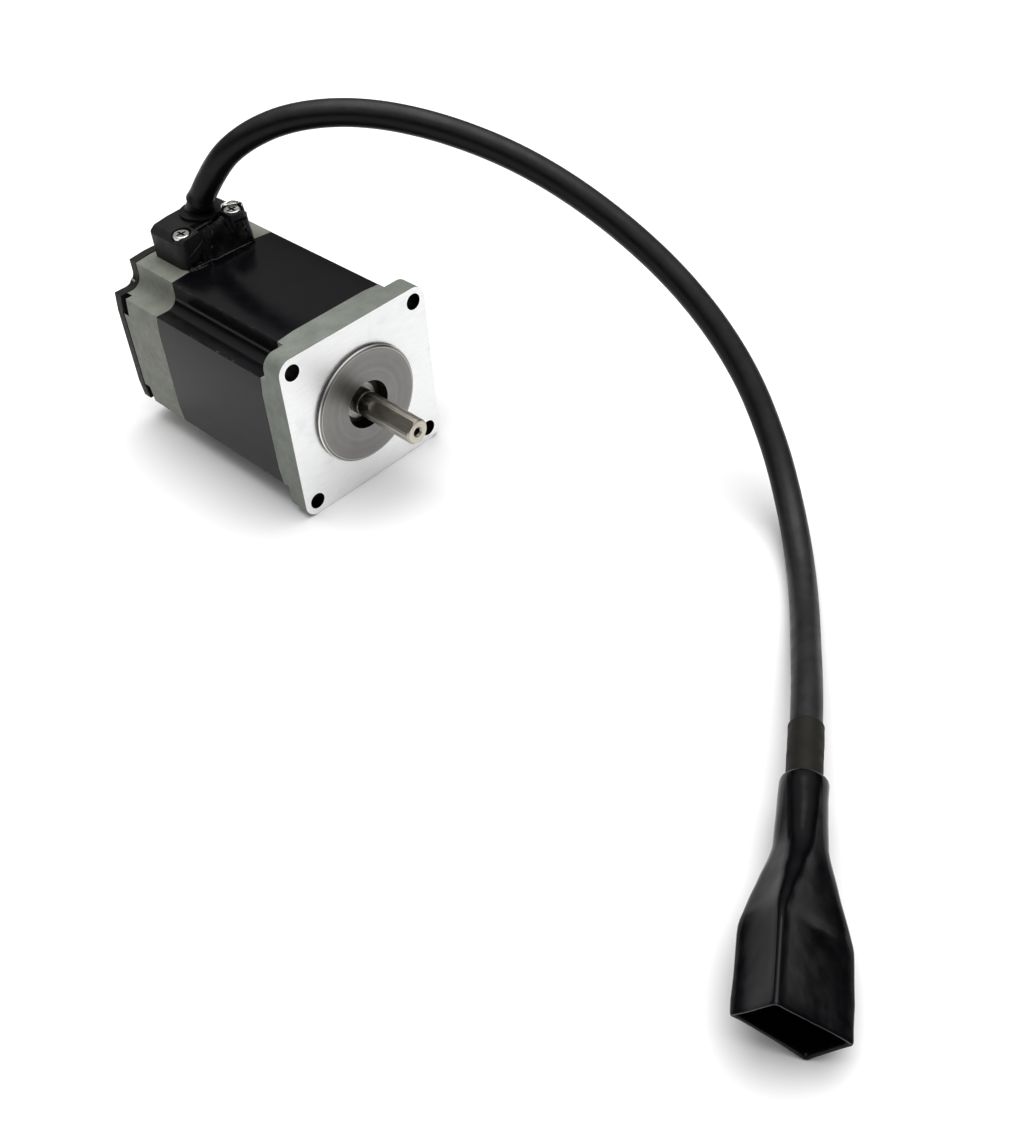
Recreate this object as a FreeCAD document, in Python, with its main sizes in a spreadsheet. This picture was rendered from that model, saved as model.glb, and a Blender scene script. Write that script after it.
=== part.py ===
import FreeCAD, Part
import math
import os
import re
import Sketcher

# Two-phase hybrid stepper motor, 56.4 mm frame, with a moulded cable exit, a
# free cable and an overmoulded connector boot.
#
# Axes: the output shaft points along -Y, +Z is up, and the origin lies on the
# shaft axis in the plane of the mounting flange.  Millimetres.

V = FreeCAD.Vector
ALONG_Y = FreeCAD.Rotation(V(1, 0, 0), -90)

SIZES = {
    # square case
    "case_half": 28.2, "notch_wall": 19.57, "notch_round": 4.0, "bolt_square": 23.57,
    "bevel_start": 13.5, "bevel_angle": 5.6, "gasket_half": 27.9,
    # lengths along the shaft axis, measured from the mounting face
    "pilot_front": -1.6, "flange_back": 7.0, "stack_front": 10.3, "stack_back": 61.0,
    "bell_back": 80.0, "gasket_thick": 0.5, "cover_back": 84.0, "web_front": 66.0,
    "web_back": 76.0,
    # front bell
    "pilot_radius": 19.05, "pilot_chamfer": 0.7, "flange_corner": 4.6, "flange_hole": 2.6,
    "front_bore": 7.8, "seat_radius": 11.0, "hub_radius": 14.0, "cavity_radius": 24.4,
    "cavity_front": 4.0,
    # through bolts
    "tie_square": 18.6, "tie_hole": 1.6, "tie_radius": 1.5, "tie_head": 2.75,
    "tie_head_high": 2.5, "tie_seat": 81.8, "tie_tip": 4.5, "tie_counterbore": 3.1,
    # bearings, 8 x 22 x 7
    "front_bearing": 2.0, "rear_bearing": 66.0, "bearing_width": 7.0,
    "ball_pitch": 7.5, "ball_radius": 1.93, "groove_radius": 2.04, "outer_land": 9.2,
    "inner_land": 5.8, "cage_inner": 6.4, "cage_outer": 8.6, "cage_half": 2.45,
    "shield_inner": 6.05, "shield_thick": 0.4, "shield_inset": 0.4,
    # shaft and rotor
    "shaft_tip": -23.2, "shaft_radius": 4.0, "shaft_chamfer": 0.5, "journal_radius": 4.02,
    "relief_radius": 3.8, "relief_wide": 0.8, "shaft_core": 5.0,
    "core_front": 9.0, "core_back": 66.0, "shaft_end": 78.5, "flat_start": -7.5,
    "flat_height": 3.5, "flat_turn": 39.8, "centre_radius": 1.15,
    "centre_deep": 4.0, "rotor_radius": 19.0, "rotor_root": 18.1, "stack_length": 10.2,
    "magnet_length": 2.2, "magnet_radius": 17.4, "rotor_front": 12.3, "spacer_length": 1.5,
    "spacer_radius": 9.0,
    # stator poles and windings
    "stator_bore": 19.06, "tooth_root": 19.8, "shoe_radius": 20.9, "neck_half": 3.25,
    "slot_radius": 24.2, "coil_low": 21.1, "coil_high": 23.1, "coil_hole_half": 3.7,
    "coil_half": 6.6, "coil_reach": 4.6, "coil_gap": 1.1, "rim_inner": 19.6,
    "rim_outer": 20.85, "rim_high": 3.6, "arm_half": 3.6, "arm_thick": 1.0,
    # rear bell furniture
    "board_front": 77.0, "board_thick": 1.6, "board_radius": 22.8, "board_hole": 8.0,
    "post_circle": 15.0, "post_radius": 2.5, "lead_radius": 0.6, "lead_circle": 22.0,
    "window_half": 6.0, "window_front": 69.5, "window_low": 18.5, "relief_long": 6.0,
    "relief_deep": 2.6, "relief_high": 3.0,
    # terminal block on top of the rear bell
    "block_half": 13.5, "block_front": 61.2, "block_back": 77.5, "block_shoulder": 36.5,
    "block_edge_half": 11.3, "block_edge": 38.1, "block_mid_half": 6.5, "block_mid": 38.75,
    "block_top": 39.0, "screw_out": 9.7, "screw_along": 65.6, "screw_floor": 36.0,
    "screw_head": 2.75, "counterbore": 3.2, "scoop_half": 6.0, "scoop_top": 66.4,
    "room_half": 7.0, "room_front": 66.9, "room_back": 75.0, "room_top": 34.5,
    "exit_out": 1.6, "exit_along": 70.8, "collar_radius": 5.6, "rim_radius": 6.4,
    "neck_radius": 3.6,
    # cable, sleeve and boot
    "cable_radius": 4.0, "sleeve_radius": 4.6, "sleeve_length": 13.2, "boot_yaw": -148.17,
    "boot_roll": 41.0, "boot_neck": 11.4, "neck_corner": 5.5, "boot_wide": 21.9,
    "boot_high": 12.8, "boot_corner": 1.5, "neck_length": 20.0, "flare_end": 42.0,
    "boot_length": 61.4, "mouth_wide": 18.9, "mouth_high": 9.8, "mouth_corner": 0.6,
    "mouth_floor": 41.0, "plug_front": 51.0, "contact_radius": 1.1, "contact_bore": 0.7,
}
BALLS = 7
POLES = 8
POLE_TEETH = 5
ROTOR_TEETH = 50
LEAD_ANGLES = [0, 180, 45, 135]
POST_ANGLES = [30, 150, 270]
FOUR_CORNERS = [(1, 1), (-1, 1), (-1, -1), (1, -1)]

# Centre line of the free cable, from the collar to the boot.
CABLE_ROUTE = [
    (2.2, 70.4, 42.5), (5.6, 63.2, 55.2), (11.6, 52.8, 65.2), (21.0, 40.0, 71.5),
    (34.0, 24.0, 72.4), (48.5, 5.6, 67.0), (61.8, -15.5, 57.0), (71.4, -38.4, 42.8),
    (76.7, -61.6, 26.4), (76.6, -82.8, 8.6), (70.7, -100.0, -8.4), (60.6, -114.0, -19.6),
    (49.0, -125.4, -24.1), (35.9, -135.8, -24.1), (19.5, -147.0, -21.0),
    (-0.91, -160.84, -16.7), (-21.3, -173.5, -16.7),
]

doc = FreeCAD.newDocument("stepper_motor")
sheet = doc.addObject("Spreadsheet::Sheet", "dims")
for row, (word, number) in enumerate(SIZES.items(), start=1):
    sheet.set("A%d" % row, word)
    sheet.set("B%d" % row, str(number))
    sheet.setAlias("B%d" % row, word)
doc.recompute()

NODES = []


# ---------------------------------------------------------------- helpers

def value(formula):
    """Number for a formula made of words and numbers joined by + and -."""
    total, sign = 0.0, 1.0
    for token in formula.split():
        if token in ("+", "-"):
            sign = 1.0 if token == "+" else -1.0
        else:
            total += sign * (SIZES[token] if token in SIZES else float(token))
    return total


def drive(obj, **formulas):
    """Bind properties of an object to formulas over the sheet's words."""
    for name, formula in formulas.items():
        text = re.sub(r"[a-z][a-z_]+", lambda found: "dims." + found.group(0), formula)
        obj.setExpression(name, text)
    return obj


def locate(obj, x="0", y="0", z="0"):
    for axis, formula in zip("xyz", (x, y, z)):
        text = re.sub(r"[a-z][a-z_]+", lambda found: "dims." + found.group(0), formula)
        obj.setExpression("Placement.Base." + axis, text)
    return obj


def rod(name, radius, length, x="0", y="0", z="0"):
    """Cylinder along +Y that starts at (x, y, z)."""
    obj = doc.addObject("Part::Cylinder", name)
    obj.Placement = FreeCAD.Placement(V(), ALONG_Y)
    return locate(drive(obj, Radius=radius, Height=length), x, y, z)


def post(name, radius, length, x="0", y="0", z="0"):
    """Cylinder along +Z that starts at (x, y, z)."""
    obj = doc.addObject("Part::Cylinder", name)
    return locate(drive(obj, Radius=radius, Height=length), x, y, z)


def block(name, size, corner):
    obj = doc.addObject("Part::Box", name)
    return locate(drive(obj, Length=size[0], Width=size[1], Height=size[2]), *corner)


def fuse(name, pieces):
    obj = doc.addObject("Part::MultiFuse", name)
    obj.Shapes = pieces
    return obj


def cut(name, base, tools):
    obj = doc.addObject("Part::Cut", name)
    obj.Base = base
    obj.Tool = tools[0] if len(tools) == 1 else fuse(name + "_tools", tools)
    return obj


def group(name, pieces):
    obj = doc.addObject("Part::Compound", name)
    obj.Links = pieces
    return obj


def ring(name, outer, inner, length, y):
    return cut(name, rod(name + "_outer", outer, length, y=y), [rod(name + "_bore", inner, length, y=y)])


def about_shaft(obj, degrees, base=V()):
    """Turn an object about the shaft axis from a base placement."""
    turn = FreeCAD.Rotation(V(0, 1, 0), degrees)
    obj.Placement = FreeCAD.Placement(turn.multVec(base), turn.multiply(obj.Placement.Rotation))
    return obj


def node(obj, label):
    """Name a finished piece; its label is its file's name."""
    obj.Label = label
    NODES.append(obj)
    return obj


def origin_plane(body, role):
    return [item for item in body.Origin.OriginFeatures if item.Role == role][0]


def sketch_on(body, role, name):
    sketch = body.newObject("Sketcher::SketchObject", name)
    sketch.AttachmentSupport = [(origin_plane(body, role), "")]
    sketch.MapMode = "FlatFace"
    return sketch


def outline(sketch, corners):
    """Closed polygon whose corners are bound to the sheet, two formulas each."""
    points = [V(value(a), value(b), 0) for a, b in corners]
    count = len(points)
    for i in range(count):
        sketch.addGeometry(Part.LineSegment(points[i], points[(i + 1) % count]), False)
    for i in range(count):
        link = Sketcher.Constraint("Coincident", i, 2, (i + 1) % count, 1)
        sketch.addConstraint(link)
    for i, formulas in enumerate(corners):
        for kind, formula in zip(("DistanceX", "DistanceY"), formulas):
            if value(formula) == 0.0:
                axis = -2 if kind == "DistanceX" else -1
                sketch.addConstraint(Sketcher.Constraint("PointOnObject", i, 1, axis))
                continue
            index = sketch.addConstraint(Sketcher.Constraint(kind, -1, 1, i, 1, value(formula)))
            drive(sketch, **{"Constraints[%d]" % index: formula})


def turned(name, corners):
    """Solid of revolution about the shaft axis; corners are (radius, along)."""
    body = doc.addObject("PartDesign::Body", name)
    sketch = sketch_on(body, "XY_Plane", name + "_profile")
    outline(sketch, corners)
    spin = body.newObject("PartDesign::Revolution", name + "_turn")
    spin.Profile = sketch
    spin.ReferenceAxis = (sketch, ["V_Axis"])
    spin.Angle = 360.0
    body.Tip = spin
    return body


def padded_polygon(name, points, length, hole=None):
    """Prism along +Z of its own frame with an optional round hole."""
    body = doc.addObject("PartDesign::Body", name)
    sketch = sketch_on(body, "XY_Plane", name + "_section")
    corners = [V(x, y, 0) for x, y in points]
    for i, corner in enumerate(corners):
        sketch.addGeometry(Part.LineSegment(corner, corners[(i + 1) % len(corners)]), False)
    if hole:
        circle = sketch.addGeometry(Part.Circle(V(), V(0, 0, 1), value(hole)), False)
        sketch.addConstraint(Sketcher.Constraint("Coincident", circle, 3, -1, 1))
        radius = sketch.addConstraint(Sketcher.Constraint("Radius", circle, value(hole)))
        drive(sketch, **{"Constraints[%d]" % radius: hole})
    pad = body.newObject("PartDesign::Pad", name + "_pad")
    pad.Profile = sketch
    drive(pad, Length=length)
    body.Tip = pad
    return body


def edges_where(shape, test):
    return [i + 1 for i, edge in enumerate(shape.Edges) if test(edge)]


def straight_along(edge, axis):
    if not isinstance(edge.Curve, Part.Line):
        return False
    return abs(edge.Curve.Direction.dot(axis)) > 0.999


def rounded(name, base, radius, test):
    doc.recompute()
    obj = doc.addObject("Part::Fillet", name)
    obj.Base = base
    obj.Edges = [(i, radius, radius) for i in edges_where(base.Shape, test)]
    return obj


def notched_case(name, start, length, half="case_half"):
    """Square case length with a concave notch along each corner and faces that
    fall away slightly towards the notches."""
    body = block(name + "_bar", (half + " + " + half, length, half + " + " + half),
                 ("0 - " + half, start, "0 - " + half))
    tools = []
    for i, (sx, sz) in enumerate(FOUR_CORNERS):
        tag = "%s_%d" % (name, i)
        reach = "case_half - bolt_square + 1"
        wide = "case_half - notch_wall + 1"
        near = {1: "notch_wall", -1: "0 - case_half - 1"}
        far = {1: "bolt_square", -1: "0 - case_half - 1"}
        tools.append(rod(tag + "_round", "notch_round", length, *axial(sx, sz, start)))
        tools.append(block(tag + "_side", (wide, length, reach), (near[sx], start, far[sz])))
        tools.append(block(tag + "_top", (reach, length, wide), (far[sx], start, near[sz])))
    for turn in range(4):
        for side in (1, -1):
            tools.append(bevel("%s_bevel_%d_%d" % (name, turn, side > 0), start, length, turn, side))
    return cut(name, body, tools)


def axial(sx, sz, start):
    sign = {1: "bolt_square", -1: "0 - bolt_square"}
    return sign[sx], start, sign[sz]


def bevel(name, start, length, turn, side):
    """Slab whose lower face takes a shallow slope off one half of a case side."""
    slab = doc.addObject("Part::Box", name)
    drive(slab, Width=length)
    slab.Length, slab.Height = 16.0, 4.0
    lean = FreeCAD.Rotation(V(0, 1, 0), side * SIZES["bevel_angle"])
    corner = V(side * SIZES["bevel_start"], value(start), SIZES["case_half"])
    if side < 0:
        corner = corner + lean.multVec(V(-16.0, 0, 0))
    spin = FreeCAD.Rotation(V(0, 1, 0), 90.0 * turn)
    slab.Placement = FreeCAD.Placement(spin.multVec(corner), spin.multiply(lean))
    return slab


def tie_rods(name, radius, start, length):
    signs = {1: "tie_square", -1: "0 - tie_square"}
    return [rod("%s_%d" % (name, i), radius, length, signs[sx], start, signs[sz])
            for i, (sx, sz) in enumerate(FOUR_CORNERS)]


# ---------------------------------------------------------------- castings

def front_bell():
    """Mounting flange with pilot, bearing seat and a shoulder for the stack."""
    plate = block("flange_plate", ("case_half + case_half", "flange_back", "case_half + case_half"),
                  ("0 - case_half", "0", "0 - case_half"))
    flange = rounded("flange", plate, SIZES["flange_corner"], lambda e: straight_along(e, V(0, 1, 0)))
    shoulder = notched_case("shoulder", "flange_back - 1", "stack_front - flange_back + 1")
    pilot = turned("pilot", [
        ("0", "pilot_front"), ("pilot_radius - pilot_chamfer", "pilot_front"),
        ("pilot_radius", "pilot_front + pilot_chamfer"), ("pilot_radius", "1"), ("0", "1")])
    solid = fuse("front_casting", [flange, shoulder, pilot])
    signs = {1: "bolt_square", -1: "0 - bolt_square"}
    tools = [rod("mount_hole_%d" % i, "flange_hole", "flange_back + 2", signs[sx], "0 - 1", signs[sz])
             for i, (sx, sz) in enumerate(FOUR_CORNERS)]
    tools += tie_rods("front_thread", "tie_radius + 0.02", "tie_tip - 0.5", "stack_front - tie_tip + 1")
    tools.append(ring("front_cavity", "cavity_radius", "hub_radius", "stack_front - cavity_front + 1",
                      "cavity_front"))
    tools.append(rod("front_seat", "seat_radius", "stack_front - front_bearing + 1", y="front_bearing"))
    tools.append(rod("front_opening", "front_bore", "front_bearing - pilot_front + 2",
                     y="pilot_front - 1"))
    node(cut("front_bell_body", solid, tools), "front_bell")


def rear_bell():
    case = notched_case("rear_case", "stack_back", "bell_back - stack_back")
    tools = [rod("rear_coil_room", "cavity_radius", "web_front - stack_back + 1", y="stack_back - 1"),
             rod("rear_seat", "seat_radius", "bearing_width + 1.6", y="web_front - 1"),
             rod("rear_clearance", "front_bore", "web_back - web_front", y="web_front + 1"),
             rod("rear_room", "board_radius + 0.7", "bell_back - web_back + 1", y="web_back"),
             block("lead_window", ("window_half + window_half", "web_back - window_front + 0.5",
                                   "case_half - window_low + 1"),
                   ("0 - window_half", "window_front", "window_low"))]
    tools += tie_rods("rear_hole", "tie_hole", "stack_back - 1", "bell_back - stack_back + 2")
    for i, (sx, sz) in enumerate(FOUR_CORNERS):
        across = {1: "case_half - relief_high", -1: "0 - case_half - 1"}[sx]
        up = {1: "notch_wall - relief_long", -1: "0 - notch_wall - 1"}[sz]
        tools.append(block("lip_relief_%d" % i, ("relief_high + 1", "relief_deep + 1", "relief_long + 1"),
                           (across, "bell_back - relief_deep", up)))
    for i, side in enumerate(("screw_out", "0 - screw_out")):
        tools.append(post("block_thread_%d" % i, "1.52", "6", side, "screw_along", "23"))
    for i, angle in enumerate(LEAD_ANGLES):
        hole = rod("lead_hole_%d" % i, "lead_radius + 0.5", "web_back - web_front + 2")
        about_shaft(drop_position(hole), angle, V(SIZES["lead_circle"], SIZES["web_front"] - 1, 0))
        tools.append(hole)
    for i, angle in enumerate(POST_ANGLES):
        tools.append(on_circle("board_thread_%d" % i, 0.92, 5.5, SIZES["web_back"] - 4.0, angle))
    casting = cut("rear_casting", case, tools)
    posts = []
    for i, angle in enumerate(POST_ANGLES):
        tube = Part.makeCylinder(SIZES["post_radius"], 1.5, V(), V(0, 1, 0))
        bore = Part.makeCylinder(0.92, 1.5, V(), V(0, 1, 0))
        posts.append(shape_node("board_post_%d" % i, tube.cut(bore), post_point(angle, value("web_back - 0.5"))))
    node(fuse("rear_bell_body", [casting] + posts), "rear_bell")


def drop_position(obj):
    """Clear the position formulas so that a code-made placement holds."""
    for axis in "xyz":
        obj.setExpression("Placement.Base." + axis, None)
    return obj


def post_point(angle, along):
    turn = math.radians(angle)
    radius = SIZES["post_circle"]
    return V(radius * math.cos(turn), along, radius * math.sin(turn))


def on_circle(name, radius, length, start, angle):
    """Small cylinder on the circle of the board's posts."""
    obj = doc.addObject("Part::Cylinder", name)
    obj.Radius, obj.Height = radius, length
    obj.Placement = FreeCAD.Placement(post_point(angle, start), ALONG_Y)
    return obj


def shape_node(name, shape, position=V(), rotation=FreeCAD.Rotation()):
    obj = doc.addObject("Part::Feature", name)
    obj.Shape = shape
    obj.Placement = FreeCAD.Placement(position, rotation)
    return obj


def rear_cover():
    plate = notched_case("cover_plate", "bell_back + gasket_thick", "cover_back - bell_back - gasket_thick",
                         "case_half")
    back = SIZES["cover_back"]
    softened = rounded("cover_softened", plate, 0.8,
                       lambda e: all(abs(v.Y - back) < 1e-4 for v in e.Vertexes))
    tools = tie_rods("cover_hole", "tie_hole", "bell_back", "cover_back - bell_back + 1")
    tools += tie_rods("cover_recess", "tie_counterbore", "tie_seat", "cover_back - tie_seat + 1")
    node(cut("rear_cover_body", softened, tools), "rear_cover")
    sheet_body = notched_case("gasket_plate", "bell_back", "gasket_thick", "gasket_half")
    tools = tie_rods("gasket_hole", "tie_hole", "bell_back - 1", "3")
    tools.append(rod("gasket_opening", "board_radius + 0.7", "3", y="bell_back - 1"))
    node(cut("gasket_body", sheet_body, tools), "cover_gasket")


def through_bolts():
    """Four long screws that clamp cover, rear bell and stack to the front bell."""
    shanks = tie_rods("tie_shank", "tie_radius", "tie_tip", "tie_seat - tie_tip + 0.5")
    heads = tie_rods("tie_head", "tie_head", "tie_seat", "tie_head_high")
    bolts = []
    for i, (sx, sz) in enumerate(FOUR_CORNERS):
        socket = doc.addObject("Part::Prism", "tie_socket_%d" % i)
        socket.Polygon, socket.Circumradius = 6, 1.44
        socket.Height = 2.0
        top = value("tie_seat + tie_head_high - 1.4")
        socket.Placement = FreeCAD.Placement(
            V(sx * SIZES["tie_square"], top, sz * SIZES["tie_square"]), ALONG_Y)
        bolts.append(cut("tie_bolt_%d" % i, fuse("tie_solid_%d" % i, [shanks[i], heads[i]]), [socket]))
    node(group("tie_bolts", bolts), "through_bolts")


# ---------------------------------------------------------------- stator

def polar(radius, degrees):
    angle = math.radians(degrees)
    return radius * math.cos(angle), radius * math.sin(angle)


def stator_opening():
    """Bore with toothed pole shoes and the slots between the poles."""
    tooth_pitch = 360.0 / ROTOR_TEETH
    tooth_wide = 0.46 * tooth_pitch
    points = []
    for pole in range(POLES):
        middle = pole * 360.0 / POLES
        for tooth in range(POLE_TEETH):
            centre = middle + (tooth - (POLE_TEETH - 1) / 2.0) * tooth_pitch
            left, right = centre - tooth_wide / 2, centre + tooth_wide / 2
            if tooth:
                points.append(polar(SIZES["tooth_root"], left))
            points += [polar(SIZES["stator_bore"], left), polar(SIZES["stator_bore"], right)]
            if tooth < POLE_TEETH - 1:
                points.append(polar(SIZES["tooth_root"], right))
        edge = middle + (POLE_TEETH - 1) / 2.0 * tooth_pitch + tooth_wide / 2
        following = middle + 360.0 / POLES
        shoe = SIZES["shoe_radius"]
        low = math.degrees(math.asin(SIZES["neck_half"] / shoe))
        high = math.degrees(math.asin(SIZES["neck_half"] / SIZES["slot_radius"]))
        points += [polar(shoe, edge), polar(shoe, middle + low)]
        steps = 8
        for step in range(steps + 1):
            share = step / steps
            turn = (middle + high) * (1 - share) + (following - high) * share
            points.append(polar(SIZES["slot_radius"], turn))
        points += [polar(shoe, following - low), polar(shoe, following - (edge - middle))]
    return points


def stator():
    length = "stack_back - stack_front"
    bar = notched_case("stack_case", "stack_front", length)
    opening = padded_polygon("stack_opening", stator_opening(), length + " + 2")
    opening.Placement = FreeCAD.Placement(V(0, SIZES["stack_front"] - 1, 0), ALONG_Y)
    holes = tie_rods("stack_hole", "tie_hole", "stack_front - 1", length + " + 2")
    node(cut("stack_body", bar, [opening] + holes), "stator_core")


def insulator(name, face, outward):
    """Moulded end piece: a rim inside the coils and one arm under each coil."""
    start = {1: face, -1: face + " - arm_thick"}[outward]
    rim_start = {1: face, -1: face + " - rim_high"}[outward]
    pieces = [ring(name + "_rim", "rim_outer", "rim_inner", "rim_high", rim_start)]
    for pole in range(POLES):
        arm = doc.addObject("Part::Box", "%s_arm_%d" % (name, pole))
        drive(arm, Length="slot_radius - rim_outer", Width="arm_thick", Height="arm_half + arm_half")
        corner = V(SIZES["rim_outer"] - 0.4, value(start), -SIZES["arm_half"])
        pieces.append(about_shaft(arm, pole * 360.0 / POLES, corner))
    node(fuse(name + "_body", pieces), name)


def coil(name, pole):
    """Rectangular winding around one pole neck."""
    length = "stack_back - stack_front"
    outer = doc.addObject("Part::Box", name + "_outer")
    drive(outer, Length="coil_high - coil_low", Width=length + " + coil_reach + coil_reach",
          Height="coil_half + coil_half")
    inner = doc.addObject("Part::Box", name + "_inner")
    drive(inner, Length="coil_high - coil_low + 2", Width=length + " + coil_gap + coil_gap",
          Height="coil_hole_half + coil_hole_half")
    inner.Placement.Base = V(-1, value("coil_reach - coil_gap"), value("coil_half - coil_hole_half"))
    loop = cut(name, outer, [inner])
    corner = V(SIZES["coil_low"], value("stack_front - coil_reach"), -SIZES["coil_half"])
    return about_shaft(loop, pole * 360.0 / POLES, corner)


def windings():
    for phase, first in (("phase_a_coils", 0), ("phase_b_coils", 1)):
        loops = [coil("%s_%d" % (phase, pole), pole) for pole in range(first, POLES, 2)]
        node(group(phase + "_set", loops), phase)
    insulator("front_insulator", "stack_front", -1)
    insulator("rear_insulator", "stack_back", 1)


# ---------------------------------------------------------------- rotor

def bearing(side, start):
    """Deep-groove ball bearing with metal shields."""
    middle = start + " + 3.5"

    def groove(tag):
        torus = doc.addObject("Part::Torus", "%s_%s_groove" % (side, tag))
        drive(torus, Radius1="ball_pitch", Radius2="groove_radius")
        torus.Placement = FreeCAD.Placement(V(0, value(middle), 0), ALONG_Y)
        return torus

    outer = ring(side + "_outer_blank", "seat_radius", "outer_land", "bearing_width", start)
    node(cut(side + "_outer", outer, [groove("outer")]), side + "_bearing_outer_ring")
    inner = ring(side + "_inner_blank", "inner_land", "journal_radius", "bearing_width", start)
    node(cut(side + "_inner", inner, [groove("inner")]), side + "_bearing_inner_ring")
    balls, pockets = [], []
    for i in range(BALLS):
        x, z = polar(SIZES["ball_pitch"], i * 360.0 / BALLS)
        for store, tag, radius in ((balls, "ball", "ball_radius"), (pockets, "pocket", "groove_radius")):
            sphere = doc.addObject("Part::Sphere", "%s_%s_%d" % (side, tag, i))
            drive(sphere, Radius=radius)
            sphere.Placement = FreeCAD.Placement(V(x, value(middle), z), ALONG_Y)
            store.append(sphere)
    node(group(side + "_ball_set", balls), side + "_bearing_balls")
    blank = ring(side + "_cage_blank", "cage_outer", "cage_inner", "cage_half + cage_half",
                 middle + " - cage_half")
    node(cut(side + "_cage", blank, pockets), side + "_bearing_cage")
    shields = [ring(side + "_shield_a", "outer_land", "shield_inner", "shield_thick",
                    start + " + shield_inset"),
               ring(side + "_shield_b", "outer_land", "shield_inner", "shield_thick",
                    start + " + bearing_width - shield_inset - shield_thick")]
    node(group(side + "_shields", shields), side + "_bearing_shields")


def shaft():
    """Plain output end with one flat, a relief groove, and the bearings' journals."""
    blank = turned("shaft_blank", [
        ("0", "shaft_tip"), ("shaft_radius - shaft_chamfer", "shaft_tip"),
        ("shaft_radius", "shaft_tip + shaft_chamfer"), ("shaft_radius", "flat_start"),
        ("shaft_radius", "pilot_front"), ("relief_radius", "pilot_front"),
        ("relief_radius", "pilot_front + relief_wide"),
        ("journal_radius", "pilot_front + relief_wide"),
        ("journal_radius", "core_front"), ("shaft_core", "core_front"),
        ("shaft_core", "core_back"), ("journal_radius", "core_back"),
        ("journal_radius", "shaft_end"), ("0", "shaft_end")])
    blank.Tip.Refine = False
    flat = doc.addObject("Part::Box", "shaft_flat")
    drive(flat, Width="flat_start - shaft_tip + 1")
    flat.Length, flat.Height = 12.0, 4.0
    about_shaft(flat, -SIZES["flat_turn"], V(-6, value("shaft_tip - 1"), SIZES["flat_height"]))
    drill = rod("centre_drill", "centre_radius", "centre_deep", y="shaft_tip - 0.01")
    mouth = doc.addObject("Part::Cone", "centre_mouth")
    drive(mouth, Radius1="centre_radius + 0.6", Radius2="centre_radius - 0.4")
    mouth.Height = 1.0
    mouth.Placement = FreeCAD.Placement(V(0, SIZES["shaft_tip"] - 0.01, 0), ALONG_Y)
    machined = cut("shaft_body", blank, [flat, drill, mouth])
    machined.Refine = False
    node(machined, "shaft")


def rotor_teeth(offset):
    pitch = 360.0 / ROTOR_TEETH
    points = []
    for tooth in range(ROTOR_TEETH):
        middle = tooth * pitch + offset
        for radius, share in (("rotor_root", -0.27), ("rotor_radius", -0.22),
                              ("rotor_radius", 0.22), ("rotor_root", 0.27)):
            points.append(polar(SIZES[radius], middle + share * pitch))
    return points


def rotor():
    """Two magnet sections, each between toothed cups half a tooth apart."""
    along = "rotor_front"
    for section in (1, 2):
        for half in (0, 1):
            number = 2 * section - 1 + half
            cup = padded_polygon("cup_%d" % number, rotor_teeth(half * 180.0 / ROTOR_TEETH),
                                 "stack_length", hole="shaft_core")
            cup.Placement = FreeCAD.Placement(V(0, value(along), 0), ALONG_Y)
            node(cup, "rotor_cup_%d" % number)
            along += " + stack_length"
            if half == 0:
                magnet = ring("magnet_%d" % section, "magnet_radius", "shaft_core", "magnet_length", along)
                node(magnet, "rotor_magnet_%d" % section)
                along += " + magnet_length"
        if section == 1:
            node(ring("spacer", "spacer_radius", "shaft_core", "spacer_length", along), "rotor_spacer")
            along += " + spacer_length"


# ---------------------------------------------------------------- wiring

def tube_path(points):
    """Straight runs joined by tangent arcs, and the radius of each arc."""
    edges, radii, last = [], [], V(*points[0])
    for before, corner, after in zip(points, points[1:], points[2:]):
        a, b, c = V(*before), V(*corner), V(*after)
        into, out = (a - b).normalize(), (c - b).normalize()
        half_turn = (math.pi - into.getAngle(out)) / 2
        reach = 0.45 * min(b.distanceToPoint(a), b.distanceToPoint(c))
        radius = reach / math.tan(half_turn)
        start, end = b + into * reach, b + out * reach
        towards = (into + out).normalize()
        middle = b + towards * (math.hypot(reach, radius) - radius)
        if last.distanceToPoint(start) > 1e-4:
            edges.append(Part.LineSegment(last, start).toShape())
        edges.append(Part.Arc(start, middle, end).toShape())
        radii.append(radius)
        last = end
    edges.append(Part.LineSegment(last, V(*points[-1])).toShape())
    return Part.Wire(edges), radii


def tube(points, radius):
    path, radii = tube_path(points)
    start = V(*points[0])
    section = Part.Wire(Part.Circle(start, V(*points[1]) - start, radius).toShape())
    return path.makePipeShell([section], True, True), path.Length, radii


def connection_board():
    plate = ring("board_plate", "board_radius", "board_hole", "board_thick", "board_front")
    holes = [on_circle("board_hole_%d" % i, 1.1, 4.0, SIZES["board_front"] - 1, angle)
             for i, angle in enumerate(POST_ANGLES)]
    node(cut("board_body", plate, holes), "connection_board")
    screws = []
    for i, angle in enumerate(POST_ANGLES):
        back = value("board_front + board_thick")
        head = on_circle("board_head_%d" % i, 1.9, 1.2, back, angle)
        shank = on_circle("board_shank_%d" % i, 0.9, 6.0, back - 5.5, angle)
        screws.append(fuse("board_screw_%d" % i, [head, shank]))
    node(group("board_screw_set", screws), "board_screws")


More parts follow.
